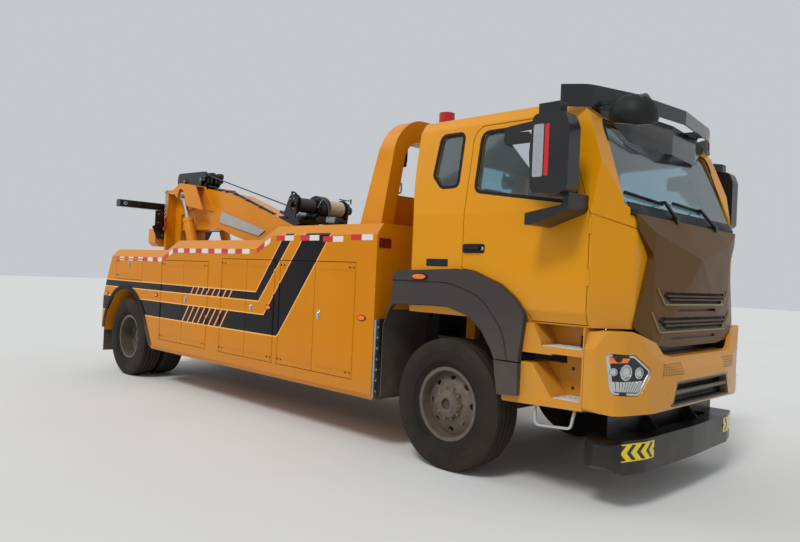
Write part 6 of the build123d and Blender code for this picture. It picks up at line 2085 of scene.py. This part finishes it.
# Boom hose: one black hydraulic hose lies along the boom's top in small clips, from the
# winches to the mouth, where it feeds the cylinder that slides the inner boom.
top_line = [
    (0.75, 0.300), (1.10, 0.302), (1.45, 0.303), (1.78, 0.303), (2.00, 0.275), (2.20, 0.244),
    (2.36, 0.240), (2.52, 0.215)
]
boom_hose = bmesh.new()
bent_rod(boom_hose, curved([on_boom(distance, level, -0.150) for distance, level in top_line]), 0.011)
bent_rod(boom_hose, curved([on_boom(distance, level, -0.122) for distance, level in top_line]), 0.008)
add_piece("boom_hose", boom_hose, hose_rubber, "boom", smooth=50)
clips = bmesh.new()
for distance, level in top_line[1:-2]:
    middle = on_boom(distance, level - 0.002, -0.137)
    box(
        clips, (middle.x - 0.012, middle.y - 0.036, middle.z - 0.018),
        (middle.x + 0.012, middle.y + 0.036, middle.z + 0.014)
    )
add_piece("boom_hose_clips", clips, pin_steel, "boom", bevel=0.002)

# Lift rods: ground steel rods plated with hard chrome, which run through a bolted gland.
# Hard chrome, polished, a little uneven in tone
hard_chrome = finish("hard_chrome_rod", "#DCDDDF", 0.1, metallic=1.0, mottle=0.02, patch=0.3)
paint_node(hard_chrome, "lift_rods")
eye_pins = bmesh.new()
for side in (-1, 1):
    turned(
        eye_pins, [(0, 0.040), (0.012, 0.040), (0.016, 0.032)], rod_eye + Vector((0, side * 0.321, 0)),
        (0, side, 0), 20
    )
add_piece("rod_eye_pins", eye_pins, pin_steel, "boom", smooth=35)

# Safety chains: short steel chains that hang beside the leg from the yokes' rear tips,
# each with a red hook at its end.
chain_steel = finish("zinc_chain_steel", "#B5B3AC", 0.35, metallic=0.85, mottle=0.1, patch=0.02)
hook_red = finish("red_hook_enamel", "#A3161C", 0.35, mottle=0.12, patch=0.03, coat=0.4)


def hanging_chain(name, top, count, pitch, link_radius, wire_radius, body):
    # Geometry Nodes: chain links on the points of a plumb line, each turned a quarter
    values = {"Count": count, "Pitch": pitch, "Link Radius": link_radius, "Wire Radius": wire_radius}
    tree, given = geometry_tree(name, values)
    drop = calculate(tree, "MULTIPLY", given["Pitch"], -1.0)
    step_down = add_node(tree, "ShaderNodeCombineXYZ", inputs={2: drop}).outputs[0]
    line = add_node(
        tree, "GeometryNodeMeshLine", inputs={"Count": given["Count"], "Offset": step_down}
    ).outputs[0]
    ring = add_node(
        tree, "GeometryNodeCurvePrimitiveCircle",
        inputs={"Resolution": 12, "Radius": given["Link Radius"]}
    ).outputs[0]
    wire = add_node(
        tree, "GeometryNodeCurvePrimitiveCircle",
        inputs={"Resolution": 6, "Radius": given["Wire Radius"]}
    ).outputs[0]
    link = add_node(
        tree, "GeometryNodeCurveToMesh", inputs={"Curve": ring, "Profile Curve": wire}
    ).outputs[0]
    long_link = add_node(
        tree, "GeometryNodeTransform",
        inputs={"Geometry": link, "Rotation": (math.pi / 2, 0, 0), "Scale": (1.0, 1.0, 1.55)}
    ).outputs[0]
    order = add_node(tree, "GeometryNodeInputIndex").outputs[0]
    quarter = calculate(tree, "MULTIPLY", order, math.pi / 2)
    turn = add_node(tree, "ShaderNodeCombineXYZ", inputs={2: quarter}).outputs[0]
    placed = add_node(
        tree, "GeometryNodeInstanceOnPoints",
        inputs={"Points": line, "Instance": long_link, "Rotation": turn}
    ).outputs[0]
    mesh = grown_mesh(tree, values, placed, chain_steel)
    mesh.transform(Matrix.Translation(top))
    mesh.shade_smooth()
    ride_mesh(name, mesh, body)


for side, word in side_names:
    chain_top = Vector((axle_x - 6.520, side * 0.364, 2.640))
    hanging_chain("safety_chain_" + word, chain_top, 14, 0.0275, 0.0125, 0.0042, "boom")
    hanger = bmesh.new()
    bent_rod(
        hanger,
        curved(
            [
                (chain_top.x, side * 0.338, 2.700), (chain_top.x, side * 0.358, 2.698),
                (chain_top.x, side * 0.366, 2.675), (chain_top.x, side * 0.364, 2.655)
            ]
        ),
        0.006
    )
    add_piece("chain_hanger_" + word, hanger, pin_steel, "boom", smooth=50)
    hook = bmesh.new()
    hook_points = [
        (0.0, 0.0), (0.004, -0.05), (0.018, -0.085), (0.030, -0.13), (0.018, -0.175), (-0.018, -0.19),
        (-0.045, -0.165), (-0.048, -0.13)
    ]
    hook_top = Vector((chain_top.x, side * 0.364, 2.270))
    bent_rod(hook, curved([hook_top + Vector((x, 0, z)) for x, z in hook_points]), 0.013, 12)
    turned(
        hook, [(0, 0.014), (0.03, 0.021), (0.055, 0.014)], hook_top + Vector((0, 0, -0.05)), (0, 0, 1),
        14
    )
    add_piece("safety_hook_" + word, hook, hook_red, "boom", smooth=50)

# Underlift face plate: thick black plate bolted across the sliding arm's front, wider than
# the arm's head, with its lower corners cut away.
face_plate = bmesh.new()
half_face = [(0.0, 2.385), (0.475, 2.385), (0.475, 2.160), (0.520, 2.135), (0.435, 1.950), (0.0, 1.950)]
face_outline = half_face + [(-y, z) for y, z in reversed(half_face[1:-1])]
plate_x = axle_x - 6.632
prism(face_plate, face_outline, 0, plate_x, plate_x + 0.020)
add_piece("underlift_face_plate", face_plate, boom_enamel, "underlift_inner", bevel=0.003)
face_bolts = bmesh.new()
for side in (-1, 1):
    for y, z in ((0.43, 2.33), (0.43, 2.20), (0.30, 2.33), (0.36, 2.0), (0.22, 2.0)):
        turned(
            face_bolts, [(0, 0.014), (0.010, 0.014), (0.013, 0.009)], (plate_x + 0.019, side * y, z),
            (1, 0, 0), 6
        )
add_piece("underlift_face_bolts", face_bolts, pin_steel, "underlift_inner", smooth=30)

# Valve chest and oil tank: a slim light grey sheet steel cabinet stands on the deck under
# the boom, and behind it the black hydraulic tank, with its round filler cap.
chest_paint = finish("light_grey_cabinet", "#C6C8C6", 0.45, mottle=0.05, patch=0.3, coat=0.2)
deck_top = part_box("deck")[1][2]
chest = bmesh.new()
box(chest, (axle_x - 5.610, -0.205, deck_top - 0.001), (axle_x - 5.430, -0.095, 1.905))
lid_side = ahead([(-5.625, 1.895), (-5.415, 1.895), (-5.415, 1.935), (-5.595, 1.930)])
prism(chest, lid_side, 1, -0.215, -0.085)
box(chest, (axle_x - 5.590, -0.211, deck_top + 0.10), (axle_x - 5.450, -0.204, 1.84))
add_piece("valve_chest", chest, chest_paint, "chassis", bevel=0.006)
tank = bmesh.new()
box(tank, (axle_x - 5.380, -0.060, deck_top - 0.001), (axle_x - 4.820, 0.420, 1.860))
turned(tank, [(0, 0.045), (0.022, 0.045), (0.026, 0.038)], (axle_x - 4.92, 0.34, 1.859), (0, 0, 1), 20)
add_piece("oil_tank", tank, boom_enamel, "chassis", bevel=0.012, smooth=40)

# Running gear: the ladder frame, axles, springs and knuckles in black chassis paint, road
# dust over all of it, and the engine in plain grey. The deck is dark tread plate.
# Satin black chassis paint under a film of road dust
chassis_paint = finish(
    "black_chassis_paint", "#1B1C1E", 0.5, mottle=0.15, patch=0.25, grain=0.0002, grain_size=0.004
)
dusty(chassis_paint, 0.35, 1.3, 0.35)
paint_node(chassis_paint, "chassis_frame", "springs")
# Heavier matt black on the forged and cast parts
axle_paint = finish(
    "black_axle_paint", "#1A1A1A", 0.6, mottle=0.2, patch=0.12, grain=0.0005, grain_size=0.005
)
dusty(axle_paint, 0.25, 0.9, 0.5)
paint_node(axle_paint, "front_axle_beam", "rear_axle", "knuckle_left", "knuckle_right")
# Grey engine enamel, warm and a little oily
engine_enamel = finish(
    "grey_engine_enamel", "#55585A", 0.5, metallic=0.2, mottle=0.2, patch=0.1, grain=0.0006,
    grain_size=0.01
)
dusty(engine_enamel, 0.5, 1.2, 0.4)
paint_node(engine_enamel, "engine_block")
# Tread plate: dark paint worn through on small raised lozenges, 40 mm apart
tread_plate = finish("dark_tread_plate", "#2A2B2D", 0.5, metallic=0.3, mottle=0.15, patch=0.4)
tree, shader, colour = base_colour(tread_plate)
place = add_node(tree, "ShaderNodeTexCoord").outputs["Object"]
parted = add_node(tree, "ShaderNodeSeparateXYZ", inputs={0: place})
lozenge_pitch = 0.040
cells = []
for way in (1.0, -1.0):
    slanted = calculate(tree, "MULTIPLY_ADD", parted.outputs[1], way, parted.outputs[0])
    wave = calculate(tree, "SINE", calculate(tree, "MULTIPLY", slanted, 2 * math.pi / lozenge_pitch))
    cells.append(calculate(tree, "ABSOLUTE", wave))
raised = calculate(tree, "GREATER_THAN", calculate(tree, "MULTIPLY", cells[0], cells[1]), 0.55)
colour = layer(tree, calculate(tree, "MULTIPLY", raised, 0.5), colour, from_hex("#77797A"))
tree.links.new(colour, shader.inputs["Base Color"])
bump = add_node(tree, "ShaderNodeBump", inputs={"Height": raised, "Distance": 0.0015, "Strength": 0.8})
tree.links.new(bump.outputs[0], shader.inputs["Normal"])
paint_node(tread_plate, "deck")
